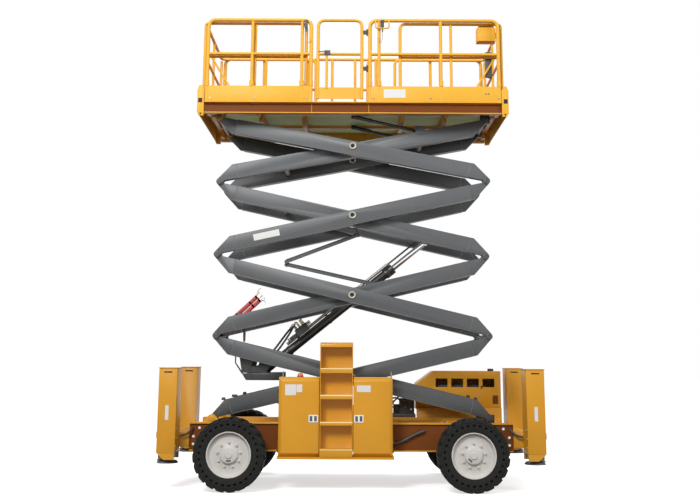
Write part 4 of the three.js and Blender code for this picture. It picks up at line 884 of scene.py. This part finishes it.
# %% Fit four tyres and wheels
WHEEL_X, WHEEL_Y, HUB_Z = 1.415, 0.950, 0.419
WINDOW_TURN = {"front": -2.3, "rear": -1.57}
for end, x in (("front", WHEEL_X), ("rear", -WHEEL_X)):
    for side_name, side in SIDES:
        body = f"road_wheel_{end}_{side_name}"
        place = Matrix.Translation((x, side * WHEEL_Y, HUB_Z))
        carcass = bmesh.new()
        carcass.from_mesh(tyre)
        carcass.transform(place @ Matrix.Rotation(0.11 + (0.9 if x > 0 else 0), 4, "Y"))
        finish_piece(f"tyre_{end}_{side_name}_tread", carcass, rubber, body,
                     (f"tyre_{end}_{side_name}",), 40)
        disc = bmesh.new()
        disc.from_mesh(wheel_mesh(side))
        disc.transform(place)
        finish_piece(f"wheel_{end}_{side_name}_dish", disc, wheel_paint, body,
                     (f"wheel_{end}_{side_name}",), 30)
        window = bmesh.new()
        part = bmesh.new()
        block(part, 0.056, 0.076, -0.0008, 0.0008, -0.026, 0.026)
        a = WINDOW_TURN[end]
        gather(window, part, place @ Matrix.Translation((0, side * 0.1125, 0))
               @ Matrix.Rotation(-a, 4, "Y"))
        finish_piece(f"hub_window_{end}_{side_name}", window, hub_dark, body)

# %% [markdown]
# ## Platform rails
# Every rail is one bent tube, so each is drawn as a path through its corners with a bend
# radius, the way the tube is bent in the works. Straight cylinders with ball corners would be
# simpler but show a seam. Sockets at the feet hold the posts.

# %% Rail dimensions and helpers
DECK_Z = 4.680
RAIL_Y, TOP_Z, MIDDLE_Z = 0.842, 5.761, 5.310
RAIL_R, MIDDLE_R = 0.024, 0.0205
SOCKET_TOP = 4.955
SECTIONS = ((-1.870, -0.510, (-1.282, -0.650)), (0.190, 1.870, (0.330, 1.114)))


def socket(bm, x, y):
    """The sleeve that holds a post, just above the toe board."""
    rod(bm, (x, y, 4.885), (x, y, SOCKET_TOP), 0.0285, 20)
    rod(bm, (x, y, SOCKET_TOP), (x, y, SOCKET_TOP + 0.005), 0.0285, 20, 0.0245)


def hoop(bm, x0, x1, y, radius, low, top, bend=0.10):
    tube(bm, [(x0, y, low), (x0, y, top), (x1, y, top), (x1, y, low)], radius, bend, sides=20)


# %% Guard rails
for side_name, side in SIDES:
    y = side * RAIL_Y
    rails = bmesh.new()
    for x0, x1, posts in SECTIONS:
        a, b = x0 + RAIL_R, x1 - RAIL_R
        hoop(rails, a, b, y, RAIL_R, DECK_Z - 0.003, TOP_Z)
        rod(rails, (a, y, MIDDLE_Z), (b, y, MIDDLE_Z), MIDDLE_R, 20)
        for x in posts:
            rod(rails, (x, y, DECK_Z - 0.003), (x, y, TOP_Z), MIDDLE_R, 20)
        for x in (a, b, *posts):
            socket(rails, x, y)
    if side > 0:
        for z in (TOP_Z, MIDDLE_Z):
            rod(rails, (-0.56, y, z), (0.24, y, z), MIDDLE_R, 20)
        for x in (-0.30, 0.03):
            rod(rails, (x, y, DECK_Z - 0.003), (x, y, TOP_Z), 0.019, 20)
    finish_piece(f"rails_{side_name}", rails, deck_orange, "platform",
                 (f"guardrail_{side_name}",), 40)

# %% [markdown]
# ## Side beams and toe boards
# The side beam is a rolled channel that opens outwards. It comes in three lengths with a weld
# between them, so three prisms of one C-shaped outline stand end to end with a small gap. The
# toe board is a thin plate with bolt holes, cut from the same side.

# %% Side beams and toe boards
CHANNEL = ((0.870, 4.530), (0.870, 4.541), (0.812, 4.546), (0.812, 4.664), (0.870, 4.669),
           (0.870, 4.680), (0.800, 4.680), (0.800, 4.530))
RUNS = ((-1.870, -0.521), (-0.519, 0.199), (0.201, 1.870))
TOE_FACE = 0.8615
RAISED_BOLTS = (1.675, 1.71)


def lengthwise(bm, outline, x0, x1, side):
    """A flat outline of (y, z) points, drawn out along X."""
    part = bmesh.new()
    extruded(part, [(x0, side * y, z) for y, z in outline], (x1 - x0, 0, 0))
    gather(bm, part)


for side_name, side in SIDES:
    beams = bmesh.new()
    for x0, x1 in RUNS:
        lengthwise(beams, CHANNEL, x0, x1, side)
    y0, y1 = mirrored(side, TOE_FACE - 0.007, TOE_FACE)
    boards = ((-1.866, -0.514), (0.194, 1.866)) if side < 0 else ((-1.866, 1.866),)
    for x0, x1 in boards:
        block(beams, x0, x1, y0, y1, 4.683, 4.884)
    soften(beams, 0.0015, 2)
    finish_piece(f"side_beam_{side_name}", beams, deck_orange, "platform")
    # A thin sheet over each channel's web carries the orange in painted shade.
    webs = bmesh.new()
    for x0, x1 in RUNS:
        block(webs, x0 + 0.002, x1 - 0.002, *mirrored(side, 0.8122, 0.8132), 4.556, 4.662)
    finish_piece(f"side_beam_web_{side_name}", webs, shade_orange, "platform")
    seams = bmesh.new()
    for x in (-0.52, 0.20):
        tube(seams, [(x, side * 0.868, 4.534), (x, side * 0.8125, 4.547),
                     (x, side * 0.8125, 4.663), (x, side * 0.868, 4.676)], 0.003, sides=8)
    bolts = bmesh.new()
    for x in (-1.80, -1.24, -0.585, 0.26, 0.98, 1.675, 1.71, 1.84):
        z = 4.79 if x in RAISED_BOLTS else 4.725
        bolt(bolts, (x, side * TOE_FACE, z), (0, side, 0), 0.014)
    finish_piece(f"side_seams_{side_name}", seams, deck_orange, "platform")
    finish_piece(f"toe_board_bolts_{side_name}", bolts, dull_steel, "platform")

# %% Blank plate on the toe board
sticker = bmesh.new()
block(sticker, 0.389, 0.662, -0.8622, -0.8616, 4.735, 4.845)
finish_piece("toe_board_plate", sticker, plate_white, "platform")

# %% [markdown]
# ## Gate
# The gate is the same bent tube with a kick plate low down, two black hinges on its right and a
# latch on its left. The barrels lie on the hinge line of the frame.

# %% Gate
GATE_X0, GATE_X1, GATE_Y, HINGE_X = -0.470, 0.135, -RAIL_Y, 0.1777
gate_bm = bmesh.new()
hoop(gate_bm, GATE_X0 + RAIL_R, GATE_X1 - RAIL_R, GATE_Y, 0.0205, 4.722, TOP_Z, 0.09)
rod(gate_bm, (GATE_X0 + RAIL_R, GATE_Y, MIDDLE_Z), (GATE_X1 - RAIL_R, GATE_Y, MIDDLE_Z), 0.019, 20)
rod(gate_bm, (-0.335, GATE_Y, 4.86), (-0.335, GATE_Y, MIDDLE_Z), 0.016, 16)
block(gate_bm, GATE_X0 + 0.006, GATE_X1 - 0.006, GATE_Y - 0.0035, GATE_Y + 0.0035, 4.722, 4.870)
finish_piece("gate_frame", gate_bm, deck_orange, "gate", ("gate",), 40)
hinges = bmesh.new()
for z in (5.08, 5.56):
    rod(hinges, (HINGE_X, GATE_Y, z), (HINGE_X, GATE_Y, z + 0.078), 0.0115, 16)
    rod(hinges, (HINGE_X, GATE_Y, z - 0.008), (HINGE_X, GATE_Y, z + 0.086), 0.006, 12)
    block(hinges, GATE_X1 - 0.012, HINGE_X, GATE_Y - 0.004, GATE_Y + 0.004, z + 0.012, z + 0.066)
finish_piece("gate_hinges", hinges, black, "gate")
latch = bmesh.new()
block(latch, -0.366, -0.290, GATE_Y - 0.034, GATE_Y - 0.016, 5.292, 5.352)
rod(latch, (-0.352, GATE_Y - 0.045, 5.322), (-0.352, GATE_Y - 0.030, 5.322), 0.014, 16)
rod(latch, (-0.440, GATE_Y - 0.024, 5.336), (-0.366, GATE_Y - 0.024, 5.336), 0.006, 12)
soften(latch, 0.002, 1)
finish_piece("gate_latch", latch, black, "gate")

# %% [markdown]
# ## Locks and lanyards
# Spring locks on the top rail hold the folding sections, and each has a pin on a thin lanyard.

# %% Locks and lanyards
locks, lanyards = bmesh.new(), bmesh.new()
for x, post_x in ((-0.600, -0.534), (0.372, 0.330)):
    block(locks, x - 0.020, x + 0.020, -RAIL_Y - 0.046, -RAIL_Y - 0.020, 5.645, 5.755)
    rod(locks, (x, -RAIL_Y - 0.035, 5.60), (x, -RAIL_Y - 0.035, 5.66), 0.009, 12)
    half = (post_x + x) / 2
    tube(lanyards, [(x, -RAIL_Y - 0.036, 5.605), (x, -RAIL_Y - 0.040, 5.50),
                    (half, -RAIL_Y - 0.044, 5.44), (post_x, -RAIL_Y - 0.030, 5.47),
                    (post_x, -RAIL_Y - 0.018, 5.53)], 0.0028, 0.04, sides=8)
soften(locks, 0.003, 1)
finish_piece("rail_locks", locks, black, "platform")
finish_piece("rail_lanyards", lanyards, dull_steel, "platform")
handle = bmesh.new()
leg = ((-RAIL_Y - 0.010, TOP_Z), (-RAIL_Y - 0.052, 5.700), (-RAIL_Y - 0.052, 5.640))
tube(handle, [(0.285, *at) for at in leg] + [(0.455, *at) for at in reversed(leg)], 0.0095, 0.03)
finish_piece("entry_handle", handle, deck_orange, "platform")

# %% [markdown]
# ## Roll-out decks
# Each deck carries a three-sided rail that stands inside the fixed one, and an end plate whose
# chamfered cheeks close the side beam when the deck is in.

# %% Roll-out decks
DECK_RAIL_Y, DECK_TOP, DECK_MIDDLE, END_X, INNER_X = 0.780, 5.735, 5.290, 1.893, 0.600
for name, end in (("left", -1), ("right", 1)):
    body = f"extension_{name}"
    deck_rails = bmesh.new()
    for side in (-1, 1):
        y = side * DECK_RAIL_Y
        tube(deck_rails, [(end * INNER_X, y, 4.700), (end * INNER_X, y, DECK_TOP),
                          (end * END_X, y, DECK_TOP), (end * END_X, 0, DECK_TOP)],
             0.020, 0.075, sides=20)
        rod(deck_rails, (end * END_X, y, 4.700), (end * END_X, y, DECK_TOP - 0.03), 0.019, 20)
        rod(deck_rails, (end * INNER_X, y, DECK_MIDDLE), (end * END_X, y, DECK_MIDDLE), 0.018, 20)
        rod(deck_rails, (end * 1.250, y, 4.700), (end * 1.250, y, DECK_TOP), 0.018, 20)
        tube(deck_rails, [(end * 1.455, y, 4.704), (end * 1.80, y, DECK_MIDDLE - 0.02)], 0.013)
    rod(deck_rails, (end * END_X, -DECK_RAIL_Y, DECK_MIDDLE),
        (end * END_X, DECK_RAIL_Y, DECK_MIDDLE), 0.018, 20)
    rod(deck_rails, (end * END_X, 0, 4.89), (end * END_X, 0, DECK_TOP), 0.018, 20)
    finish_piece(f"deck_rails_{name}", deck_rails, deck_orange, body,
                 (f"extension_deck_{name}",), 40)
    plates = bmesh.new()
    block(plates, *mirrored(end, 0.560, 1.944), -0.806, 0.806, 4.6925, 4.7015)
    block(plates, *mirrored(end, 1.936, 1.944), -0.826, 0.826, 4.520, 4.890)
    for side in (-1, 1):
        block(plates, *mirrored(end, 0.562, 1.936), *mirrored(side, 0.560, 0.620), 4.6805, 4.6925)
        cheek = bmesh.new()
        outline = [(end * x, z) for x, z in (
            (1.876, 4.500), (1.938, 4.500), (1.962, 4.545), (1.962, 4.830), (1.940, 4.895),
            (1.905, 4.895), (1.876, 4.840))]
        prism(cheek, outline, *mirrored(side, 0.828, 0.846))
        gather(plates, cheek)
    soften(plates, 0.002, 2)
    finish_piece(f"deck_plates_{name}", plates, deck_orange, body)
    # The holes in the cheeks are flat near-black marks, painted shade for the openings.
    marks = bmesh.new()
    for side in (-1, 1):
        block(marks, *mirrored(end, 1.899, 1.949), *mirrored(side, 0.8462, 0.8470), 4.668, 4.726)
        rod(marks, (end * 1.915, side * 0.8462, 4.526), (end * 1.915, side * 0.8470, 4.526), 0.012)
    finish_piece(f"cheek_holes_{name}", marks, dark_hole, body)

# %% [markdown]
# ## Control box and document box
# The control box hangs inside the rail at the steered end with its bracket round it. Its panel
# faces the deck, so a stick, a stop button and a row of switches are enough.

# %% Control box
box_bm = bmesh.new()
block(box_bm, 1.590, 1.830, -0.762, -0.640, 5.512, 5.700)
prism(box_bm, [(1.600, 5.700), (1.820, 5.700), (1.800, 5.738), (1.620, 5.738)], -0.757, -0.665)
block(box_bm, 1.606, 1.814, -0.775, -0.763, 5.515, 5.700)
soften(box_bm, 0.006, 2)
finish_piece("control_box_case", box_bm, deck_orange, "extension_right", ("control_box",))
panel = bmesh.new()
block(panel, 1.606, 1.814, -0.6395, -0.634, 5.530, 5.690)
rod(panel, (1.760, -0.635, 5.640), (1.760, -0.622, 5.640), 0.024, 20)
rod(panel, (1.660, -0.635, 5.620), (1.660, -0.575, 5.650), 0.010, 12, 0.014)
for x in (1.640, 1.680, 1.720):
    rod(panel, (x, -0.635, 5.560), (x, -0.620, 5.560), 0.007, 12)
soften(panel, 0.0015, 1)
finish_piece("control_panel", panel, plastic, "extension_right")
stop = bmesh.new()
turned(stop, [(0, 0), (0.020, 0), (0.021, 0.006), (0.017, 0.014), (0, 0.016)],
       (1.760, -0.6225, 5.640), (0, 1, 0), 20)
finish_piece("stop_button", stop, prop_red, "extension_right")

# %% Document box
case = bmesh.new()
prism(case, [(1.690, 5.050), (1.775, 5.030), (1.775, 5.370), (1.690, 5.370)], -0.762, -0.702)
block(case, 1.686, 1.779, -0.764, -0.700, 5.330, 5.352)
block(case, 1.700, 1.765, -0.7635, -0.7620, 5.10, 5.28)
block(case, 1.700, 1.765, -0.768, -0.760, 5.280, 5.300)
soften(case, 0.005, 2)
finish_piece("document_box_case", case, plastic, "extension_right", ("document_box",))

# %% [markdown]
# ## Under the deck
# Seen from below the deck shows pale green plate between its cross members, bolt holes in pairs
# and a black strut with its lug. The plates are set a little below the deck sheet.

# %% Deck underside
CROSS_X = [-1.20, -0.64, 0.64, 1.20]
green = bmesh.new()
edges_x = [-1.80] + CROSS_X + [1.80]
for x0, x1 in zip(edges_x, edges_x[1:]):
    block(green, x0 + 0.030, x1 - 0.030, -0.790, 0.790, 4.6575, 4.6655)
finish_piece("deck_underside_plates", green, primer, "platform")
# The bolt holes are thin near-black discs, painted shade for the openings.
holes = bmesh.new()
for x in CROSS_X:
    for dx in (-0.045, 0.045):
        for y in (-0.70, -0.30, 0.30, 0.70):
            rod(holes, (x + dx, y, 4.6565), (x + dx, y, 4.6575), 0.011, 16)
finish_piece("deck_underside_holes", holes, dark_hole, "platform")

# %% [markdown]
# A pair of black struts hangs from the deck's middle and runs down beside the upper arms. In
# the real lift they are pinned to both; here they keep with the platform.

# %% Deck struts
STRUT_Y = 0.310
struts = bmesh.new()
for side in (-1, 1):
    y = side * STRUT_Y
    rod(struts, (0.040, y, 4.615), (0.850, y, 4.430), 0.021, 20)
    rod(struts, (0.015, y, 4.622), (0.250, y, 4.568), 0.027, 20)
    block(struts, -0.020, 0.050, *mirrored(side, 0.296, 0.324), 4.595, 4.657)
soften(struts, 0.002, 1)
finish_piece("deck_struts", struts, black, "platform")

# %% [markdown]
# ## Cabinets and doors
# Each door is folded sheet: its outer, top and bottom edges lean back to the frame and its
# ladder side is square. A loft between two rectangles gives those slopes in one step.

# %% Cabinet doors
def span(node):
    """Lowest and highest x, y and z of a frame node."""
    thing = frame["nodes"][node]
    corners = [thing.matrix_world @ Vector(c) for c in thing.bound_box]
    return [(min(c[i] for c in corners), max(c[i] for c in corners)) for i in range(3)]


SLOPE_IN = 0.040
for side_name, outer in (("left", -1), ("right", 1)):
    body = f"cabinet_{side_name}_door"
    (x0, x1), (y0, y1), (z0, z1) = span(body)
    door = bmesh.new()
    near_x0 = x0 + (SLOPE_IN if outer < 0 else 0)
    near_x1 = x1 - (SLOPE_IN if outer > 0 else 0)
    back = [(x0, y1, z0), (x1, y1, z0), (x1, y1, z1), (x0, y1, z1)]
    front = [(near_x0, y0, z0 + SLOPE_IN), (near_x1, y0, z0 + SLOPE_IN),
             (near_x1, y0, z1 - SLOPE_IN), (near_x0, y0, z1 - SLOPE_IN)]
    far_ring, near_ring = ([door.verts.new(p) for p in ring] for ring in (back, front))
    door.faces.new(far_ring)
    door.faces.new(near_ring)
    for i in range(4):
        door.faces.new((far_ring[i - 1], far_ring[i], near_ring[i], near_ring[i - 1]))
    soften(door, 0.004, 2, 20)
    finish_piece(f"{body}_panel", door, orange, body, (body,))
    latch_x = (-0.504, -0.392) if outer < 0 else (0.030, 0.142)
    plate = bmesh.new()
    block(plate, *latch_x, y0 - 0.005, y0, 0.778, 0.864)
    soften(plate, 0.002, 1)
    finish_piece(f"{body}_latch", plate, latch_steel, body)
    inner = bmesh.new()
    mid = sum(latch_x) / 2
    for x in (mid - 0.026, mid + 0.026):
        block(inner, x - 0.016, x + 0.016, y0 - 0.0055, y0 - 0.005, 0.790, 0.852)
    finish_piece(f"{body}_latch_cup", inner, plastic, body)
    hinge_bm = bmesh.new()
    edge_x = x0 if outer < 0 else x1
    for z in (0.46, 0.57, 1.01, 1.14):
        rod(hinge_bm, (edge_x + outer * 0.006, y1 + 0.009, z - 0.024),
            (edge_x + outer * 0.006, y1 + 0.009, z + 0.024), 0.008, 12)
    finish_piece(f"{body}_hinges", hinge_bm, black, "chassis")
    blanks = bmesh.new()
    for a, b, low, high in (((-0.783, -0.655, 1.088, 1.212), (-0.650, -0.583, 1.123, 1.212))
                            if outer < 0 else ((0.062, 0.225, 1.128, 1.204),)):
        block(blanks, a, b, y0 - 0.0008, y0 - 0.0001, low, high)
    finish_piece(f"{body}_blanks", blanks, plate_white, body)

# %% Cabinet lips, pegs and beacon
# The cabinet lips are thin pale orange strips, a painted highlight along their top edges.
trim = bmesh.new()
pegs = bmesh.new()
for (x0, x1), peg in (((-0.858, -0.380), -0.812), ((0.024, 0.483), 0.469)):
    block(trim, x0, x1, -0.912, -0.640, 1.2905, 1.2945)
    rod(pegs, (peg, -0.880, 1.294), (peg, -0.880, 1.362), 0.0085, 12)
finish_piece("cabinet_lips", trim, edge_highlight_paint, "chassis")
finish_piece("cabinet_pegs", pegs, dull_steel, "chassis")
BEACON_AT = (-0.612, -0.840, 1.290)
dome = bmesh.new()
turned(dome, [(0, 0.012), (0.034, 0.012), (0.0345, 0.030), (0.030, 0.042), (0.020, 0.050),
              (0, 0.0525)], BEACON_AT, (0, 0, 1), 32)
finish_piece("beacon_dome", dome, amber, "chassis", ("beacon",))
ring = bmesh.new()
turned(ring, [(0, 0.001), (0.040, 0.001), (0.040, 0.010), (0.036, 0.013), (0, 0.013)],
       BEACON_AT, (0, 0, 1), 32)
finish_piece("beacon_base", ring, black, "chassis")

# %% [markdown]
# ## Ladder
# Every step edge is rolled: a round nose runs along it over a recess in shade,
# and the nose is painted a pale orange as a painted highlight.

# %% Ladder noses
noses = bmesh.new()
(left_x, right_x), (front_y, _), _ = span("ladder")
FIRST_STEP, STEP_PITCH = 0.468, 0.3075
for z in (FIRST_STEP + k * STEP_PITCH for k in range(4)):
    rod(noses, (left_x + 0.002, front_y + 0.010, z), (right_x - 0.002, front_y + 0.010, z), 0.0115,
        16)
finish_piece("ladder_noses", noses, edge_highlight_paint, "chassis")

# %% [markdown]
# ## Chassis beam
# The beam is a channel: the flanges stand proud of the web, and the web is a thin sheet
# of orange in painted shade.

# %% Flanges and bolts
BEAM_END, WEB_FACE = 1.948, 0.583
flanges, web = bmesh.new(), bmesh.new()
for side in (-1, 1):
    for low, high in ((0.737, 0.757), (0.421, 0.437)):
        block(flanges, -BEAM_END, BEAM_END, *mirrored(side, 0.5805, 0.604), low, high)
    block(web, -BEAM_END, BEAM_END, *mirrored(side, 0.5805, WEB_FACE), 0.437, 0.737)
soften(flanges, 0.003, 2)
finish_piece("chassis_flanges", flanges, orange, "chassis")
finish_piece("chassis_web", web, shade_orange, "chassis")
base_bolts = bmesh.new()
for end in (-1, 1):
    for side in (-1, 1):
        for x, z in ((1.83, 0.69), (1.90, 0.59), (1.90, 0.50), (1.80, 0.62)):
            bolt(base_bolts, (end * x, side * WEB_FACE, z), (0, side, 0), 0.020)
for x in (1.10, 1.16):
    bolt(base_bolts, (x, -0.52, 0.757), (0, 0, 1), 0.018)
finish_piece("chassis_bolts", base_bolts, zinc, "chassis")
keepers = bmesh.new()
for side in (-1, 1):
    for x in (-1.70, 1.70):
        bolt(keepers, (x, side * WEB_FACE, 0.715), (0, side, 0), 0.020)
finish_piece("keeper_bolts", keepers, latch_steel, "chassis")

# %% [markdown]
# ## Outriggers
# Four folded columns with a cap, a lifting slot, a side bump over the cylinder and slanted
# skirts below. The skirts are prisms of one outline; the feet tilt on their ball, so they stand
# a few degrees out of level.

# %% Outrigger trim
COLUMN_X, COLUMN_HALF = 2.170, 0.1077
for end_name, end in (("rear", -1), ("front", 1)):
    caps, marks, bumps, plates, edge_bolts = (bmesh.new() for _ in range(5))
    for side_name, side in SIDES:
        cx, (ya, yb) = end * COLUMN_X, mirrored(side, 0.600, 0.930)
        block(caps, cx - 0.116, cx + 0.116, ya - 0.008, yb + 0.008, 1.3925, 1.400)
        # The lifting slot is a flat near-black mark, painted shade standing for the opening.
        block(marks, cx - 0.048, cx + 0.048, ya - 0.001, ya + 0.001, 1.340, 1.356)
        root, crown = cx + end * COLUMN_HALF, cx + end * 0.124
        prism(bumps, [(root, 0.560), (crown, 0.600), (crown, 0.655), (root, 0.700)],
              ya + 0.05, yb - 0.05)
        for y in (ya, yb - 0.006):
            prism(bumps, [(cx - end * 0.105, 0.345), (cx + end * 0.02, 0.345),
                          (cx + end * 0.105, 0.424), (cx - end * 0.105, 0.424)], y, y + 0.006)
        for z in (0.50, 0.60, 0.70):
            bolt(edge_bolts, (cx - end * COLUMN_HALF, ya + 0.05, z), (-end, 0, 0), 0.014)
        if side < 0:
            block(plates, cx - 0.020, cx + 0.020, ya - 0.0008, ya - 0.0001, 0.80, 0.965)
        pad = bmesh.new()
        turned(pad, [(0, 0.0), (0.118, 0.0), (0.127, 0.006), (0.118, 0.014), (0.05, 0.022),
                     (0.045, 0.04), (0, 0.045)], (0, 0, 0), (0, 0, 1), 32)
        pad.transform(Matrix.Translation((cx, side * 0.765, 0.318))
                      @ Matrix.Rotation(math.radians(end * -6), 4, "Y"))
        finish_piece(f"outrigger_pad_{end_name}_{side_name}", pad, iron,
                     f"outrigger_leg_{end_name}_{side_name}")
    soften(caps, 0.003, 2)
    soften(bumps, 0.003, 1)
    finish_piece(f"outrigger_caps_{end_name}", caps, orange, "chassis")
    finish_piece(f"outrigger_slots_{end_name}", marks, dark_hole, "chassis")
    finish_piece(f"outrigger_folds_{end_name}", bumps, orange, "chassis")
    finish_piece(f"outrigger_bolts_{end_name}", edge_bolts, zinc, "chassis")
    finish_piece(f"outrigger_plates_{end_name}", plates, plate_white, "chassis")
    supply = bmesh.new()
    tube(supply, [(end * 1.90, -0.610, 0.70), (end * 1.96, -0.66, 0.62),
                  (end * 2.05, -0.66, 0.60)], 0.013, 0.05)
    finish_piece(f"outrigger_hose_{end_name}", supply, hose, "chassis")

# %% [markdown]
# ## Engine side
# Left of the hood stand the pump and its valve block, dark castings with bright fittings and
# hoses. The hood gets its filler cap, a latch slot drawn as a flat mark in painted shade, and a
# skirt panel below it in painted shade.

# %% Pump, hoses and hood trim
pump = bmesh.new()
block(pump, 0.640, 0.835, 0.640, 0.880, 0.800, 1.000)
block(pump, 0.560, 0.640, 0.680, 0.820, 0.800, 0.920)
block(pump, 0.520, 0.850, 0.600, 0.930, 0.757, 0.800)
rod(pump, (0.70, 0.635, 0.93), (0.70, 0.610, 0.93), 0.045, 24)
soften(pump, 0.005, 2)
finish_piece("pump_block", pump, iron, "chassis")
joints_bm = bmesh.new()
for x, z in ((0.675, 0.955), (0.715, 0.895), (0.755, 0.955), (0.600, 0.865), (0.79, 0.860)):
    rod(joints_bm, (x, 0.640, z), (x, 0.612, z), 0.0115, 6)
finish_piece("pump_fittings", joints_bm, zinc, "chassis")
lines = bmesh.new()
for x, z, dip in ((0.675, 0.955, 0.07), (0.755, 0.955, 0.10), (0.600, 0.865, 0.05)):
    tube(lines, [(x, 0.612, z), (x, 0.596, z), (x - 0.10, 0.596, z + dip),
                 (x - 0.22, 0.600, z - 0.02), (x - 0.26, 0.62, z - 0.10)], 0.011, 0.05)
tube(lines, [(0.50, -0.612, 0.52), (0.62, -0.614, 0.545), (0.75, -0.614, 0.62),
             (0.885, -0.612, 0.67)], 0.017, 0.08)
finish_piece("pump_hoses", lines, hose, "chassis")
filler = bmesh.new()
rod(filler, (1.86, 0.66, 1.3605), (1.86, 0.66, 1.392), 0.040, 24)
block(filler, 1.72, 1.74, 0.586, 0.5895, 1.13, 1.17)
finish_piece("hood_filler", filler, black, "engine_hood")
shade_panel = bmesh.new()
block(shade_panel, 1.03, 1.975, 0.606, 0.611, 0.758, 0.883)
finish_piece("hood_skirt", shade_panel, shade_orange, "chassis")
slot_mark = bmesh.new()
block(slot_mark, 1.872, 1.945, 0.5885, 0.5895, 0.935, 1.045)
finish_piece("hood_slot", slot_mark, shade_orange, "engine_hood")

# %% [markdown]
# ## Camera, floor and light
# The machine stands on a plain pale floor under soft light from above and in front, as outdoors
# under a bright overcast sky. The camera stands low, nearly thirteen metres away, and looks up.

# %% Camera
camera = new_object("camera", bpy.data.cameras.new("camera"))
CAMERA_PITCH, CAMERA_ROLL = math.radians(90 + 11.46), 0.0046
camera.location = (0.0, -12.887, 1.491)
camera.rotation_mode = "QUATERNION"
camera.rotation_quaternion = (
    Matrix.Rotation(CAMERA_PITCH, 4, "X") @ Matrix.Rotation(CAMERA_ROLL, 4, "Z")
).to_quaternion()
camera.data.sensor_width = 36.0
camera.data.lens = 50.79
camera.data.shift_x = -0.0038
camera.data.shift_y = -0.131
camera.data.clip_end = 200.0
bpy.context.scene.camera = camera
print("camera", tuple(round(v, 3) for v in camera.location), camera.data.lens)


# %% Floor, sky and lamps
def seen_directly(tree):
    """1 where the camera, a mirror or a glass looks straight at the surface."""
    path = tree.nodes.new("ShaderNodeLightPath")
    both = maths(tree, "MAXIMUM", path.outputs["Is Camera Ray"], path.outputs["Is Glossy Ray"])
    return maths(tree, "MAXIMUM", both, path.outputs["Is Transmission Ray"])


floor_bm = bmesh.new()
bmesh.ops.create_grid(floor_bm, x_segments=1, y_segments=1, size=60.0)
floor_mesh = bpy.data.meshes.new("floor")
floor_bm.to_mesh(floor_mesh)
floor_bm.free()
floor = new_object("floor", floor_mesh)
pale = bpy.data.materials.new("pale floor")
pale.use_nodes = True
pale_tree = pale.node_tree
pale_shader = pale_tree.nodes["Principled BSDF"]
floor_colour = mix_colour(pale_tree, seen_directly(pale_tree), (0.16, 0.15, 0.14, 1),
                          (0.82, 0.82, 0.82, 1))
FLOOR_GLOW = 0.62
glow = maths(pale_tree, "MULTIPLY", seen_directly(pale_tree), FLOOR_GLOW)
feed(pale_tree, pale_shader, {
    "Base Color": floor_colour, "Roughness": 0.9, "Emission Color": (1, 1, 1, 1),
    "Emission Strength": glow,
})
floor_mesh.materials.append(pale)

world = bpy.data.worlds.new("sky")
bpy.context.scene.world = world
world.use_nodes = True
sky_tree = world.node_tree
sky = sky_tree.nodes["Background"]
sky.inputs["Color"].default_value = (1.0, 1.0, 1.0, 1)
SKY_LIGHT = 0.46
strength = mix_colour(sky_tree, seen_directly(sky_tree), (SKY_LIGHT,) * 3 + (1,), (1, 1, 1, 1))
sky_tree.links.new(strength, sky.inputs["Strength"])


def lamp(name, at, towards, power, size):
    """A round soft light, turned to face a point."""
    light = bpy.data.lights.new(name, "AREA")
    light.energy = power
    light.shape = "DISK"
    light.size = size
    holder = new_object(name, light)
    holder.location = at
    aim = Vector(towards) - Vector(at)
    holder.rotation_mode = "QUATERNION"
    holder.rotation_quaternion = aim.to_track_quat("-Z", "Y")


lamp("front light", (-4.0, -11.0, 9.0), (0, 0, 2.2), 1250, 4.0)
lamp("side light", (9.0, -6.0, 7.0), (0, 0, 2.5), 360, 5.0)
lamp("top light", (0.0, 2.0, 13.0), (0, 0, 2.0), 520, 6.0)
bpy.context.scene.view_settings.view_transform = "Standard"

# %% [markdown]
# ## The end
